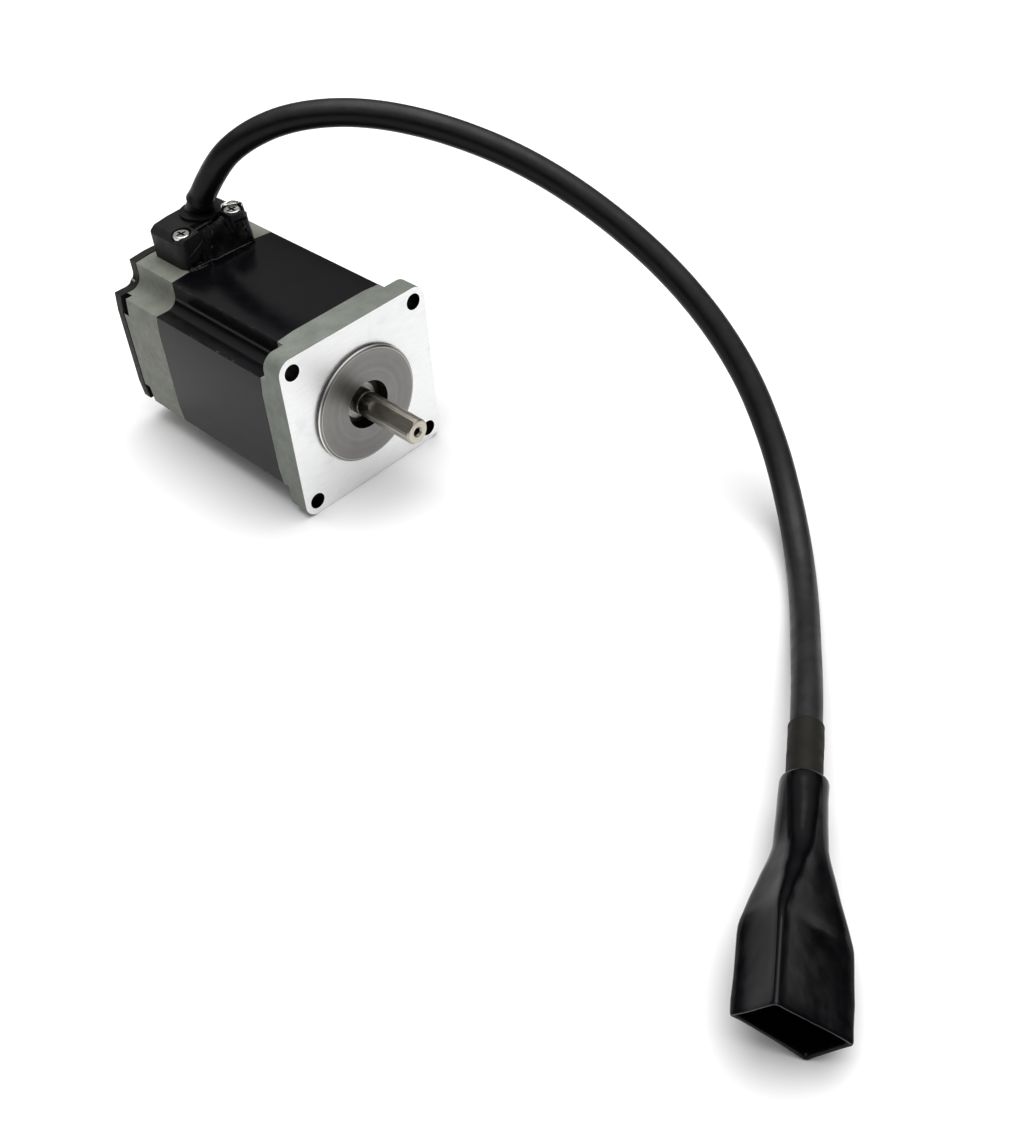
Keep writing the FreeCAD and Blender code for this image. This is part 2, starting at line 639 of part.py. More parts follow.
def lead_wires():
    leads = []
    start = value("stack_back + coil_reach")
    for i, angle in enumerate(LEAD_ANGLES):
        wire = Part.makeCylinder(SIZES["lead_radius"], SIZES["board_front"] - start, V(), V(0, 1, 0))
        turn = math.radians(-angle)
        spot = V(SIZES["lead_circle"] * math.cos(turn), start, SIZES["lead_circle"] * math.sin(turn))
        leads.append(shape_node("phase_lead_%d" % i, wire, spot))
    node(group("phase_lead_set", leads), "phase_leads")
    wires, sleeves = [], []
    for i in range(4):
        x = (i - 1.5) * 2.6
        route = [(x, SIZES["board_front"], 20.4), (x, 72.2, 20.4), (x, 72.2, 30.0)]
        wires.append(shape_node("supply_lead_%d" % i, tube(route, 0.7)[0]))
        crimp = post("splice_%d" % i, "1.1", "room_top - 30", str(x), "72.2", "30")
        sleeves.append(crimp)
    node(group("supply_lead_set", wires), "supply_leads")
    node(group("splice_set", sleeves), "splice_sleeves")


# ---------------------------------------------------------------- terminal block

def profile_along_x(name, corners, half):
    """Prism across X with a bound outline of (along, up) corners."""
    body = doc.addObject("PartDesign::Body", name)
    sketch = sketch_on(body, "YZ_Plane", name + "_profile")
    outline(sketch, corners)
    pad = body.newObject("PartDesign::Pad", name + "_pad")
    pad.Profile = sketch
    pad.Midplane = True
    drive(pad, Length=half + " + " + half)
    body.Tip = pad
    return body


def terminal_block():
    body = doc.addObject("PartDesign::Body", "block_blank")
    sketch = sketch_on(body, "XZ_Plane", "block_profile")
    right = [("block_half", "case_half"), ("block_half", "block_shoulder"),
             ("block_edge_half", "block_edge"), ("block_mid_half", "block_mid"), ("2", "block_top")]
    left = [("0 - " + a, b) for a, b in reversed(right)]
    outline(sketch, right + left)
    pad = body.newObject("PartDesign::Pad", "block_pad")
    pad.Profile = sketch
    pad.Reversed = True
    drive(pad, Length="block_back - block_front")
    body.Tip = pad
    locate(body, y="block_front")
    soft = rounded("block_soft", body, 0.9,
                   lambda e: straight_along(e, V(0, 0, 1)))
    tools = [block("wire_room", ("room_half + room_half", "room_back - room_front",
                                 "room_top - case_half + 1"),
                   ("0 - room_half", "room_front", "case_half - 1")),
             post("exit_hole", "collar_radius", "8", "exit_out", "exit_along", "room_top - 1"),
             profile_along_x("scoop", [("block_front - 1", "case_half - 2.34"),
                                       ("scoop_top", "block_top - 0.5"), ("scoop_top", "block_top + 2"),
                                       ("block_front - 1", "block_top + 2")], "scoop_half"),
             tab_shape("tab_slot")]
    for i, side in enumerate(("screw_out", "0 - screw_out")):
        tools.append(post("block_hole_%d" % i, "1.6", "12", side, "screw_along", "case_half - 1"))
        tools.append(post("block_recess_%d" % i, "counterbore", "6", side, "screw_along", "screw_floor"))
    node(cut("block_body", soft, tools), "terminal_block")


def tab_shape(name):
    """Thin upright tongue beside the far screw."""
    return block(name, ("0.8", "4.4", "3.0"), ("13.0", "64.6", "36.4"))


def terminal_hardware():
    screws, washers = [], []
    for i, side in enumerate(("screw_out", "0 - screw_out")):
        shank = post("block_shank_%d" % i, "1.5", "13.2", side, "screw_along", "23.2")
        head = post("block_head_%d" % i, "screw_head", "1.9", side, "screw_along", "screw_floor + 0.4")
        arms = [block("cross_%d_a" % i, ("3.2", "0.7", "2"), (side + " - 1.6", "screw_along - 0.35", "37.2")),
                block("cross_%d_b" % i, ("0.7", "3.2", "2"), (side + " - 0.35", "screw_along - 1.6", "37.2"))]
        screws.append(cut("block_screw_%d" % i, fuse("block_screw_solid_%d" % i, [shank, head]), arms))
        plate = post("washer_plate_%d" % i, "3.1", "0.4", side, "screw_along", "screw_floor")
        hole = post("washer_hole_%d" % i, "1.6", "0.4", side, "screw_along", "screw_floor")
        washers.append(cut("washer_%d" % i, plate, [hole]))
    node(group("block_screw_set", screws), "terminal_screws")
    node(group("washer_set", washers), "terminal_washers")
    node(tab_shape("tab"), "terminal_tab")
    lump = profile_along_x("compound", [
        ("58.7", "case_half"), ("59.4", "31.2"), ("61.2", "35.2"), ("63.8", "37.9"),
        ("scoop_top - 0.1", "block_top - 0.5"), ("block_front + 0.05", "case_half")], "scoop_half")
    seat = post("compound_seat", "collar_radius", "8", "exit_out", "exit_along", "room_top - 1")
    node(cut("compound_body", lump, [seat]), "potting_compound")


def cable_collar():
    """Rubber collar in the block's top whose neck leans with the cable."""
    body = post("collar_body", "collar_radius", "block_top - room_top + 0.4", "exit_out",
                "exit_along", "room_top")
    rim = post("collar_rim", "rim_radius", "0.9", "exit_out", "exit_along", "block_top")
    start, following = V(*CABLE_ROUTE[0]), V(*CABLE_ROUTE[1])
    away = (following - start).normalize()
    neck = doc.addObject("Part::Cylinder", "collar_neck")
    drive(neck, Radius="neck_radius")
    neck.Height = 5.0
    neck.Placement = FreeCAD.Placement(start - away * 5.0, FreeCAD.Rotation(V(0, 0, 1), away))
    node(fuse("collar", [body, rim, neck]), "cable_collar")


# ---------------------------------------------------------------- cable and boot

def boot_rotation():
    """Own +Z runs to the mouth, own +X is the long side of the mouth."""
    along = FreeCAD.Rotation(V(0, 0, 1), SIZES["boot_yaw"]).multVec(V(1, 0, 0))
    side = along.cross(V(0, 0, 1))
    roll = math.radians(SIZES["boot_roll"])
    wide = side * -math.cos(roll) + V(0, 0, -math.sin(roll))
    return FreeCAD.Rotation(wide, along.cross(wide), along, "ZXY"), along


def cable():
    body, length, radii = tube(CABLE_ROUTE, SIZES["cable_radius"])
    share = body.Volume / (math.pi * SIZES["cable_radius"] ** 2 * length)
    print("cable %.1f mm, volume over section times length %.4f" % (length, share))
    print("radii " + " ".join("%.0f" % radius for radius in radii))
    node(shape_node("cable_body", body), "cable")
    end = V(*CABLE_ROUTE[-1])
    along = boot_rotation()[1]
    turn = FreeCAD.Rotation(V(0, 0, 1), along)
    start = end - along * (SIZES["sleeve_length"] + 0.2)
    wall = []
    for name, radius in (("sleeve_outer", "sleeve_radius"), ("sleeve_bore", "cable_radius")):
        piece = doc.addObject("Part::Cylinder", name)
        drive(piece, Radius=radius, Height="sleeve_length")
        wall.append(piece)
    sleeve = cut("sleeve", wall[0], [wall[1]])
    sleeve.Placement = FreeCAD.Placement(start, turn)
    node(sleeve, "heat_shrink_sleeve")


def rounded_section(name, wide, high, corner, level):
    """Rectangle with quarter-round corners in a plane across the boot."""
    sketch = doc.addObject("Sketcher::SketchObject", name)
    half_w, half_h, r = wide / 2, high / 2, corner
    centres = [(half_w - r, half_h - r), (r - half_w, half_h - r),
               (r - half_w, r - half_h), (half_w - r, r - half_h)]
    arcs = []
    for i, (x, y) in enumerate(centres):
        circle = Part.Circle(V(x, y, 0), V(0, 0, 1), r)
        arcs.append(Part.ArcOfCircle(circle, i * math.pi / 2, (i + 1) * math.pi / 2))
    for i, arc in enumerate(arcs):
        sketch.addGeometry(arc, False)
        following = arcs[(i + 1) % 4]
        sketch.addGeometry(Part.LineSegment(arc.EndPoint, following.StartPoint), False)
    sketch.Placement.Base = V(0, 0, level)
    return sketch


def lofted(name, sections):
    obj = doc.addObject("Part::Loft", name)
    obj.Sections = [rounded_section("%s_section_%d" % (name, i), *section)
                    for i, section in enumerate(sections)]
    obj.Solid, obj.Ruled = True, True
    return obj


def connector():
    rotation, _ = boot_rotation()
    place = FreeCAD.Placement(V(*CABLE_ROUTE[-1]), rotation)
    neck, wide, high = SIZES["boot_neck"], SIZES["boot_wide"], SIZES["boot_high"]
    shell = lofted("boot_shell", [
        (neck, neck, SIZES["neck_corner"], 0.0),
        (neck, neck, SIZES["neck_corner"], SIZES["neck_length"]),
        (wide - 1.2, high - 0.7, 2.4, SIZES["flare_end"] - 4.0),
        (wide, high, SIZES["boot_corner"], SIZES["flare_end"]),
        (wide, high, SIZES["boot_corner"], SIZES["boot_length"])])
    inner = (SIZES["mouth_wide"], SIZES["mouth_high"], SIZES["mouth_corner"])
    floor = SIZES["mouth_floor"]
    mouth = lofted("boot_mouth", [inner + (floor,), inner + (SIZES["boot_length"] + 1,)])
    boot = cut("boot", shell, [mouth])
    boot.Placement = place
    node(boot, "connector_boot")
    core = lofted("plug_core", [inner + (floor,), inner + (SIZES["plug_front"],)])
    holes, contacts = [], []
    for i in range(8):
        x, y = (i % 4 - 1.5) * 4.2, (i // 4 - 0.5) * 4.2
        spot = (str(x), str(y), "mouth_floor + 1")
        holes.append(post("plug_hole_%d" % i, "contact_radius", "plug_front - mouth_floor", *spot))
        sleeve = post("contact_tube_%d" % i, "contact_radius", "plug_front - mouth_floor - 1.6", *spot)
        bore = post("contact_bore_%d" % i, "contact_bore", "8", str(x), str(y), "mouth_floor + 2")
        contacts.append(cut("contact_%d" % i, sleeve, [bore]))
    plug = cut("plug", core, holes)
    plug.Placement = place
    node(plug, "connector_housing")
    pins = group("contact_set", contacts)
    pins.Placement = place
    node(pins, "connector_contacts")


def check_and_write():
    doc.recompute()
    for obj in doc.Objects:
        if "Invalid" in obj.State or "Error" in obj.State:
            raise RuntimeError("%s is %s" % (obj.Name, obj.State))
    for obj in NODES:
        if obj.Shape.isNull() or not obj.Shape.isValid():
            raise RuntimeError("%s has a bad shape" % obj.Label)
    os.makedirs("parts", exist_ok=True)
    for obj in NODES:
        obj.Shape.exportStep("parts/%s.step" % obj.Label)
        print("%-28s %9.1f mm3  %d solids" % (obj.Label, obj.Shape.Volume, len(obj.Shape.Solids)))


front_bell()
stator()
windings()
rear_bell()
rear_cover()
through_bolts()
bearing("front", "front_bearing")
bearing("rear", "rear_bearing")
node(ring("preload", "seat_radius - 0.1", "front_bore + 0.2", "0.55", "rear_bearing + bearing_width"),
     "preload_washer")
shaft()
rotor()
connection_board()
lead_wires()
terminal_block()
terminal_hardware()
cable_collar()
cable()
connector()
check_and_write()
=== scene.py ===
import math

import bmesh
import bpy
from mathutils import Matrix, Vector, noise


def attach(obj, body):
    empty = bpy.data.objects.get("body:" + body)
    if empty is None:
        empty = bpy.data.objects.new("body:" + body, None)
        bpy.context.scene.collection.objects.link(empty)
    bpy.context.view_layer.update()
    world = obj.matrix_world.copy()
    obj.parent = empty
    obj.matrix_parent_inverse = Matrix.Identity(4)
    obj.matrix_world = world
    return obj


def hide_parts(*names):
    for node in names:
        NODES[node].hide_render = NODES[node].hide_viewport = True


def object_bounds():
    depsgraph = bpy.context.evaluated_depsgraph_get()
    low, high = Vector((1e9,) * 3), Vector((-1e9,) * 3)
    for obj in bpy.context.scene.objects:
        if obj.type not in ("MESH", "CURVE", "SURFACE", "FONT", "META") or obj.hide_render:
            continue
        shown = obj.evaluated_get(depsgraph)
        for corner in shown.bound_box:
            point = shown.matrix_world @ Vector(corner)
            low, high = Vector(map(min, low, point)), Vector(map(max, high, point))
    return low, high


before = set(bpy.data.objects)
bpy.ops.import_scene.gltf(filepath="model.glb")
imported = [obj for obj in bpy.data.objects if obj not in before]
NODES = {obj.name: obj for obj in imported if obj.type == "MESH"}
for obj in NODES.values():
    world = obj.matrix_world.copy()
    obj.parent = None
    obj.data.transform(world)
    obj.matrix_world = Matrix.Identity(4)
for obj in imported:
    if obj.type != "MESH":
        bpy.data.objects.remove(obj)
cad_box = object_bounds()

# Lengths are in mm, turned into metres where they meet Blender, but for the camera's
# and the floor's, which are in metres.
MM = 0.001


# ------------------------------------------------------------------ camera

# From a perspective fitted to the flange's edges and holes and the case's long edges.
CAMERA_PLACE = (-0.19567165, -0.26138125, 0.2331551)
CAMERA_DEGREES = (46.38793, 3.00347, -46.74192)
CAMERA_LENS, SENSOR_WIDTH = 41.216, 36.0

camera = bpy.data.objects.new("camera", bpy.data.cameras.new("camera"))
bpy.context.scene.collection.objects.link(camera)
camera.location = CAMERA_PLACE
camera.rotation_euler = [math.radians(turn) for turn in CAMERA_DEGREES]
camera.data.lens = CAMERA_LENS
camera.data.sensor_width = SENSOR_WIDTH
camera.data.clip_start = 0.01
bpy.context.scene.camera = camera


# ------------------------------------------------------------------ mesh helpers

def add(name, mesh, looks, instead_of=(), body="housing"):
    """Turn a mesh or curve into a piece that rides on a CAD body."""
    obj = bpy.data.objects.new(name, mesh)
    bpy.context.scene.collection.objects.link(obj)
    for look in looks:
        mesh.materials.append(look)
    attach(obj, body)
    if instead_of:
        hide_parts(*instead_of)
    return obj


def smooth(bm, degrees):
    """Smooth shading everywhere but over edges sharper than the angle."""
    bmesh.ops.recalc_face_normals(bm, faces=bm.faces)
    for face in bm.faces:
        face.smooth = True
    for edge in bm.edges:
        edge.smooth = len(edge.link_faces) == 2 and edge.calc_face_angle() < math.radians(degrees)


def to_mesh(bm, name):
    mesh = bpy.data.meshes.new(name)
    bm.to_mesh(mesh)
    bm.free()
    return mesh


def loft(rings, closed_ends=(True, True)):
    """Skin over rings that all have the same number of points."""
    bm = bmesh.new()
    rows = [[bm.verts.new(point) for point in ring] for ring in rings]
    count = len(rows[0])
    for low, high in zip(rows, rows[1:]):
        for i in range(count):
            j = (i + 1) % count
            bm.faces.new((low[i], low[j], high[j], high[i]))
    for row, closed in zip((rows[0], rows[-1]), closed_ends):
        if closed:
            middle = bm.verts.new(sum((v.co for v in row), Vector()) / count)
            for i in range(count):
                bm.faces.new((row[i], row[(i + 1) % count], middle))
    return bm


def lathe(profile, sides=96):
    """Solid of revolution about +Y through (radius, along) points in mm."""
    rings = []
    for radius, along in profile:
        ring = []
        for i in range(sides):
            turn = 2 * math.pi * i / sides
            ring.append(Vector((radius * math.cos(turn), along, radius * math.sin(turn))) * MM)
        rings.append(ring)
    return loft(rings)


def bevelled(obj, width, segments, degrees=None):
    """Round over the edges sharper than the angle or, with none, the weighted edges."""
    mod = obj.modifiers.new("soft edges", "BEVEL")
    mod.width = width * MM
    mod.segments = segments
    mod.use_clamp_overlap = True
    mod.harden_normals = False
    mod.miter_outer = "MITER_ARC"
    if degrees is None:
        mod.limit_method = "WEIGHT"
    else:
        mod.limit_method = "ANGLE"
        mod.angle_limit = math.radians(degrees)


def softened(node, width, segments, looks, where=None, choose=None, reshape=None):
    """Piece with a CAD node's own shape and its visible edges rounded over: where
    says which sharp edges, choose gives a face its look, and reshape comes first."""
    bm = bmesh.new()
    bm.from_mesh(NODES[node].data)
    bmesh.ops.remove_doubles(bm, verts=bm.verts, dist=3e-6)
    bmesh.ops.dissolve_limit(bm, angle_limit=math.radians(0.6), verts=bm.verts, edges=bm.edges)
    bmesh.ops.recalc_face_normals(bm, faces=bm.faces)
    if reshape:
        reshape(bm)
    weight = bm.edges.layers.float.new("bevel_weight_edge")
    for edge in bm.edges:
        middle = (edge.verts[0].co + edge.verts[1].co) / 2 / MM
        if len(edge.link_faces) == 2 and edge.calc_face_angle() > math.radians(30):
            edge[weight] = 1.0 if where is None or where(middle) else 0.0
    if choose:
        for face in bm.faces:
            face.material_index = choose(face)
    smooth(bm, 30)
    obj = add(node + "_shape", to_mesh(bm, node + "_soft"), looks, (node,))
    bevelled(obj, width, segments)


# ------------------------------------------------------------------ materials

class Look:
    """A procedural material; numbers that hold everywhere sit on the shader."""

    def __init__(self, name, **constants):
        self.mat = bpy.data.materials.new(name)
        self.mat.use_nodes = True
        self.tree = self.mat.node_tree
        self.shader = self.tree.nodes["Principled BSDF"]
        self.place = self.new("ShaderNodeTexCoord").outputs["Object"]
        self.normal = None
        for key, value in constants.items():
            self.shader.inputs[key.replace("_", " ")].default_value = value

    def new(self, kind, **settings):
        made = self.tree.nodes.new(kind)
        for key, value in settings.items():
            setattr(made, key, value)
        return made

    def link(self, source, target):
        if isinstance(source, bpy.types.NodeSocket):
            self.tree.links.new(source, target)
        else:
            target.default_value = source

    def calc(self, operation, a, b=0.0):
        made = self.new("ShaderNodeMath", operation=operation)
        for socket, value in zip(made.inputs, (a, b)):
            self.link(value, socket)
        return made.outputs[0]

    def axes(self):
        """x, y and z in the CAD's own axes, where y runs back from the flange's face."""
        made = self.new("ShaderNodeSeparateXYZ")
        self.link(self.place, made.inputs[0])
        return made.outputs

    def radius(self):
        """Distance from the shaft's axis."""
        x, _, z = self.axes()
        return self.calc("SQRT", self.calc("ADD", self.calc("MULTIPLY", x, x), self.calc("MULTIPLY", z, z)))

    def vector(self, x, y=0.0, z=0.0):
        made = self.new("ShaderNodeCombineXYZ")
        for socket, value in zip(made.inputs, (x, y, z)):
            self.link(value, socket)
        return made.outputs[0]

    def noise(self, size, detail=4.0, roughness=0.55, stretch=(1, 1, 1), vector=None):
        """Grey noise whose blotches are about size mm across."""
        mapping = self.new("ShaderNodeMapping")
        mapping.inputs["Scale"].default_value = stretch
        self.link(vector or self.place, mapping.inputs["Vector"])
        made = self.new("ShaderNodeTexNoise")
        made.inputs["Scale"].default_value = 1.0 / (size * MM)
        made.inputs["Detail"].default_value = detail
        made.inputs["Roughness"].default_value = roughness
        self.link(mapping.outputs[0], made.inputs["Vector"])
        return made.outputs[0]

    def spread(self, source, low, high, to_low=0.0, to_high=1.0):
        """Smooth step of the source from low to high."""
        made = self.new("ShaderNodeMapRange", interpolation_type="SMOOTHSTEP")
        for name, value in (("Value", source), ("From Min", low), ("From Max", high),
                            ("To Min", to_low), ("To Max", to_high)):
            self.link(value, made.inputs[name])
        return made.outputs[0]

    def ramp(self, source, *stops):
        made = self.new("ShaderNodeValToRGB")
        points = made.color_ramp.elements
        while len(points) < len(stops):
            points.new(0.5)
        for point, (position, colour) in zip(points, stops):
            point.position = position
            point.color = (*colour, 1)
        self.link(source, made.inputs[0])
        return made.outputs[0]

    def mix(self, factor, a, b):
        made = self.new("ShaderNodeMix", data_type="RGBA")
        self.link(factor, made.inputs[0])
        self.link(a if isinstance(a, bpy.types.NodeSocket) else (*a, 1), made.inputs[6])
        self.link(b if isinstance(b, bpy.types.NodeSocket) else (*b, 1), made.inputs[7])
        return made.outputs[2]

    def near(self, source, value, inner, outer):
        """White where the source is within inner mm of the value, black past outer."""
        gap = self.calc("ABSOLUTE", self.calc("SUBTRACT", source, value * MM))
        return self.spread(gap, inner * MM, outer * MM, 1.0, 0.0)

    def colour(self, source):
        self.link(source, self.shader.inputs["Base Color"])

    def rough(self, source, low=None, high=None):
        if low is not None:
            source = self.spread(source, 0.3, 0.7, low, high)
        self.link(source, self.shader.inputs["Roughness"])

    def bump(self, source, height):
        """Raise the surface by height mm where the source is white."""
        made = self.new("ShaderNodeBump")
        made.inputs["Distance"].default_value = height * MM
        self.link(source, made.inputs["Height"])
        if self.normal:
            self.link(self.normal, made.inputs["Normal"])
        self.normal = made.outputs[0]
        self.link(self.normal, self.shader.inputs["Normal"])


def cast_paint(name, dark, light):
    """Grey-green paint over a casting: mottled, with grime in its pits."""
    look = Look(name, Specular_IOR_Level=0.4)
    blotch = look.ramp(look.noise(7, 6, 0.65), (0.3, dark), (0.72, light))
    grime = look.spread(look.noise(1.6, 5, 0.7), 0.60, 0.74)
    speck = look.spread(look.noise(0.5, 3, 0.6), 0.66, 0.74, 0, 0.5)
    tone = look.mix(look.calc("MULTIPLY", grime, 0.35), blotch, tuple(v * 0.5 for v in dark))
    look.colour(look.mix(speck, tone, tuple(min(1.0, v * 1.35) for v in light)))
    look.rough(look.noise(2.2, 4), 0.42, 0.62)
    look.bump(look.noise(0.9, 5, 0.6), 0.05)
    look.bump(look.noise(0.25, 3), 0.018)
    return look.mat


# The stack's long lips run this far from the shaft's axis, aside and outward.
LIP_ASIDE, LIP_OUT = 19.5, 27.55


def stack_paint():
    """Black satin paint over a pressed stack, rubbed through along the lips."""
    look = Look("stack_paint", Specular_IOR_Level=0.3)
    x, _, z = look.axes()
    ax, az = look.calc("ABSOLUTE", x), look.calc("ABSOLUTE", z)
    near = look.calc("MINIMUM", ax, az)
    far = look.calc("MAXIMUM", ax, az)
    across = look.calc("DIVIDE", look.calc("SUBTRACT", near, LIP_ASIDE * MM), 0.45 * MM)
    inward = look.calc("DIVIDE", look.calc("SUBTRACT", far, LIP_OUT * MM), 0.6 * MM)
    gap = look.calc("SQRT", look.calc("ADD", look.calc("MULTIPLY", across, across),
                                      look.calc("MULTIPLY", inward, inward)))
    lip = look.spread(gap, 0.5, 1.5, 1.0, 0.0)
    rub = look.spread(look.noise(1.1, 6, 0.75, stretch=(1, 0.45, 1)), 0.55, 0.66, 0, 0.7)
    worn = look.calc("MULTIPLY", lip, rub)
    haze = look.ramp(look.noise(18, 5, 0.6), (0.3, (0.0030, 0.0030, 0.0042)),
                     (0.75, (0.0058, 0.0058, 0.0078)))
    dust = look.spread(look.noise(0.35, 4, 0.7), 0.70, 0.78, 0, 0.25)
    look.colour(look.mix(worn, look.mix(dust, haze, (0.03, 0.03, 0.031)), (0.085, 0.088, 0.084)))
    satin = look.spread(look.noise(5, 4, 0.6), 0.3, 0.7, 0.17, 0.24)
    look.rough(look.calc("ADD", satin, look.calc("MULTIPLY", worn, 0.2)))
    layers = look.noise(0.5, 2, 0.5, stretch=(0.02, 1, 0.02))
    look.bump(layers, 0.005)
    look.bump(look.noise(0.7, 4, 0.55), 0.007)
    look.bump(look.noise(18, 2), 0.05)
    return look.mat


def dull_black(name, low, high, rough, grain=0.35, height=0.02, level=0.3, patch=6):
    """Black plastic, rubber or paint with soft patches and a fine grain."""
    look = Look(name, Specular_IOR_Level=level)
    patchy = look.ramp(look.noise(patch, 5, 0.6), (0.3, low), (0.75, high))
    fleck = look.spread(look.noise(grain * 1.6, 4, 0.7), 0.66, 0.76, 0, 0.3)
    look.colour(look.mix(fleck, patchy, tuple(v * 3 + 0.01 for v in high)))
    look.rough(look.noise(patch * 0.5, 4, 0.6), *rough)
    look.bump(look.noise(grain, 3, 0.6), height)
    return look


def jacket():
    """Black extruded jacket, painted lighter on its upper side as a painted sheen from the light above."""
    look = dull_black("cable_jacket", (0.0030, 0.0030, 0.0034), (0.0056, 0.0056, 0.0062), (0.3, 0.42),
                      0.25, 0.008, patch=12)
    black = look.shader.inputs["Base Color"].links[0].from_socket
    # painted sheen: faces pointing up get a lighter colour in place of the light from above
    facing = look.new("ShaderNodeSeparateXYZ")
    look.link(look.new("ShaderNodeNewGeometry").outputs["Normal"], facing.inputs[0])
    upward = look.spread(facing.outputs["Z"], 0.25, 0.85)
    painted_top_sheen = look.calc("MULTIPLY", upward, look.spread(look.noise(7, 4, 0.6), 0.3, 0.7, 0.6, 1.0))
    look.colour(look.mix(painted_top_sheen, black, (0.040, 0.040, 0.042)))
    return look.mat


def steel(name, low, high, rough, grain=(1, 0.04, 1), height=0.004, size=0.35, tint=None):
    """Metal with fine tool marks drawn out along one axis."""
    look = Look(name, Metallic=1.0)
    marks = look.noise(size, 4, 0.6, stretch=grain)
    tone = look.ramp(marks, (0.3, low), (0.7, high))
    if tint:
        tone = look.mix(look.spread(look.noise(3, 4, 0.6), 0.45, 0.75, 0, 0.6), tone, tint)
    look.colour(tone)
    look.rough(look.noise(1.2, 4, 0.6), *rough)
    look.bump(marks, height)
    return look.mat


def turned_metal(name, low, high, rough, pitch=0.22, height=0.006, rim=0.0):
    """Face turned on a lathe: rings about the shaft's axis and, where it has a rim, a
    painted highlight along its edge, a fainter painted highlight along a groove
    inside it, and its side painted darker as painted shade."""
    look = Look(name, Metallic=1.0)
    r = look.radius()
    rings = look.noise(pitch, 3, 0.7, vector=look.vector(r))
    broad = look.noise(2.0, 3, 0.6, vector=look.vector(r))
    patch = look.noise(6, 4, 0.6)
    tone = look.mix(0.5, look.ramp(rings, (0.3, low), (0.7, high)),
                    look.ramp(broad, (0.3, low), (0.7, high)))
    spots = look.spread(look.noise(0.6, 4, 0.65), 0.66, 0.72, 0, 0.55)
    tone = look.mix(spots, look.mix(look.spread(patch, 0.4, 0.7, 0, 0.25), tone, high), low)
    if rim:
        # painted highlights: a bright line on the rim's rounded edge and a fainter one along the groove
        # inside it
        line = look.near(r, rim - 1.0, 0.08, 0.22)
        edge = look.near(r, rim - 0.2, 0.1, 0.2)
        tone = look.mix(look.calc("MAXIMUM", edge, look.calc("MULTIPLY", line, 0.45)), tone,
                        tuple(min(1.0, v * 2.4) for v in high))
        # painted shade: the rim's side is darker
        painted_shade_side = look.spread(r, (rim - 0.06) * MM, (rim - 0.02) * MM)
        tone = look.mix(painted_shade_side, tone, tuple(v * 0.8 for v in low))
    look.colour(tone)
    look.rough(rings, *rough)
    look.bump(rings, height)
    if rim:
        look.bump(line, -0.08)
    return look.mat


def milled_face():
    """Bare aluminium face with faint straight cutter marks and a few nicks."""
    look = Look("milled_face", Metallic=0.85)
    marks = look.noise(0.3, 3, 0.6, stretch=(0.05, 1, 1))
    tone = look.ramp(marks, (0.3, (0.88, 0.885, 0.89)), (0.7, (0.96, 0.96, 0.96)))
    nicks = look.spread(look.noise(0.55, 5, 0.75), 0.69, 0.73)
    smear = look.spread(look.noise(9, 3, 0.5), 0.56, 0.72, 0, 0.22)
    tone = look.mix(smear, tone, (0.72, 0.73, 0.745))
    look.colour(look.mix(nicks, tone, (0.45, 0.45, 0.44)))
    look.rough(marks, 0.34, 0.46)
    look.bump(marks, 0.003)
    look.bump(nicks, -0.02)
    return look.mat


def enamel_wire():
    """Turns of enamelled copper wire, side by side outward from the axis."""
    pitch = 0.5551
    look = Look("copper_wire", Metallic=0.8, Coat_Weight=0.6, Coat_Roughness=0.15)
    turns = look.new("ShaderNodeTexWave", wave_type="BANDS", bands_direction="X")
    turns.inputs["Scale"].default_value = 2 * math.pi / 20 / (pitch * MM)
    look.link(look.vector(look.radius(), look.axes()[1]), turns.inputs["Vector"])
    shade = look.noise(2.5, 3)
    # painted shade: each turn is dark where it meets the next and light along its crown
    turn_shading = look.ramp(turns.outputs[1], (0.0, (0.22, 0.07, 0.02)), (0.6, (0.78, 0.32, 0.11)))
    look.colour(look.mix(shade, turn_shading, (0.60, 0.25, 0.09)))
    look.rough(shade, 0.22, 0.4)
    look.bump(turns.outputs[1], 0.12)
    return look.mat


def moulded(name, low, high, rough, **more):
    """Light moulded plastic."""
    look = Look(name, **more)
    look.colour(look.ramp(look.noise(5, 4), (0.3, low), (0.7, high)))
    look.rough(look.noise(1.4, 4), *rough)
    look.bump(look.noise(0.3, 3), 0.01)
    return look.mat


def potting():
    """Glossy black compound with pale dust caught along its foot."""
    look = Look("potting", Specular_IOR_Level=0.22)
    body = look.ramp(look.noise(2.5, 5, 0.6), (0.3, (0.0008, 0.0008, 0.001)),
                     (0.7, (0.0030, 0.0030, 0.0034)))
    foot = look.spread(look.axes()[2], 28.4 * MM, 30.6 * MM, 1.0, 0.02)
    speckled = look.spread(look.axes()[0], -4.5 * MM, -1.0 * MM, 1.0, 0.25)
    grains = look.spread(look.noise(0.45, 5, 0.8), 0.52, 0.64)
    drifts = look.spread(look.noise(1.6, 3, 0.5), 0.46, 0.58)
    dust = look.calc("MULTIPLY", look.calc("MULTIPLY", grains, foot), look.calc("MULTIPLY", drifts, speckled))
    look.colour(look.mix(dust, body, (0.24, 0.23, 0.24)))
    look.rough(look.noise(2.6, 3, 0.5), 0.2, 0.36)
    look.bump(look.noise(3.4, 1, 0.3), 0.10)
    look.bump(look.noise(0.5, 3, 0.6), 0.012)
    return look.mat


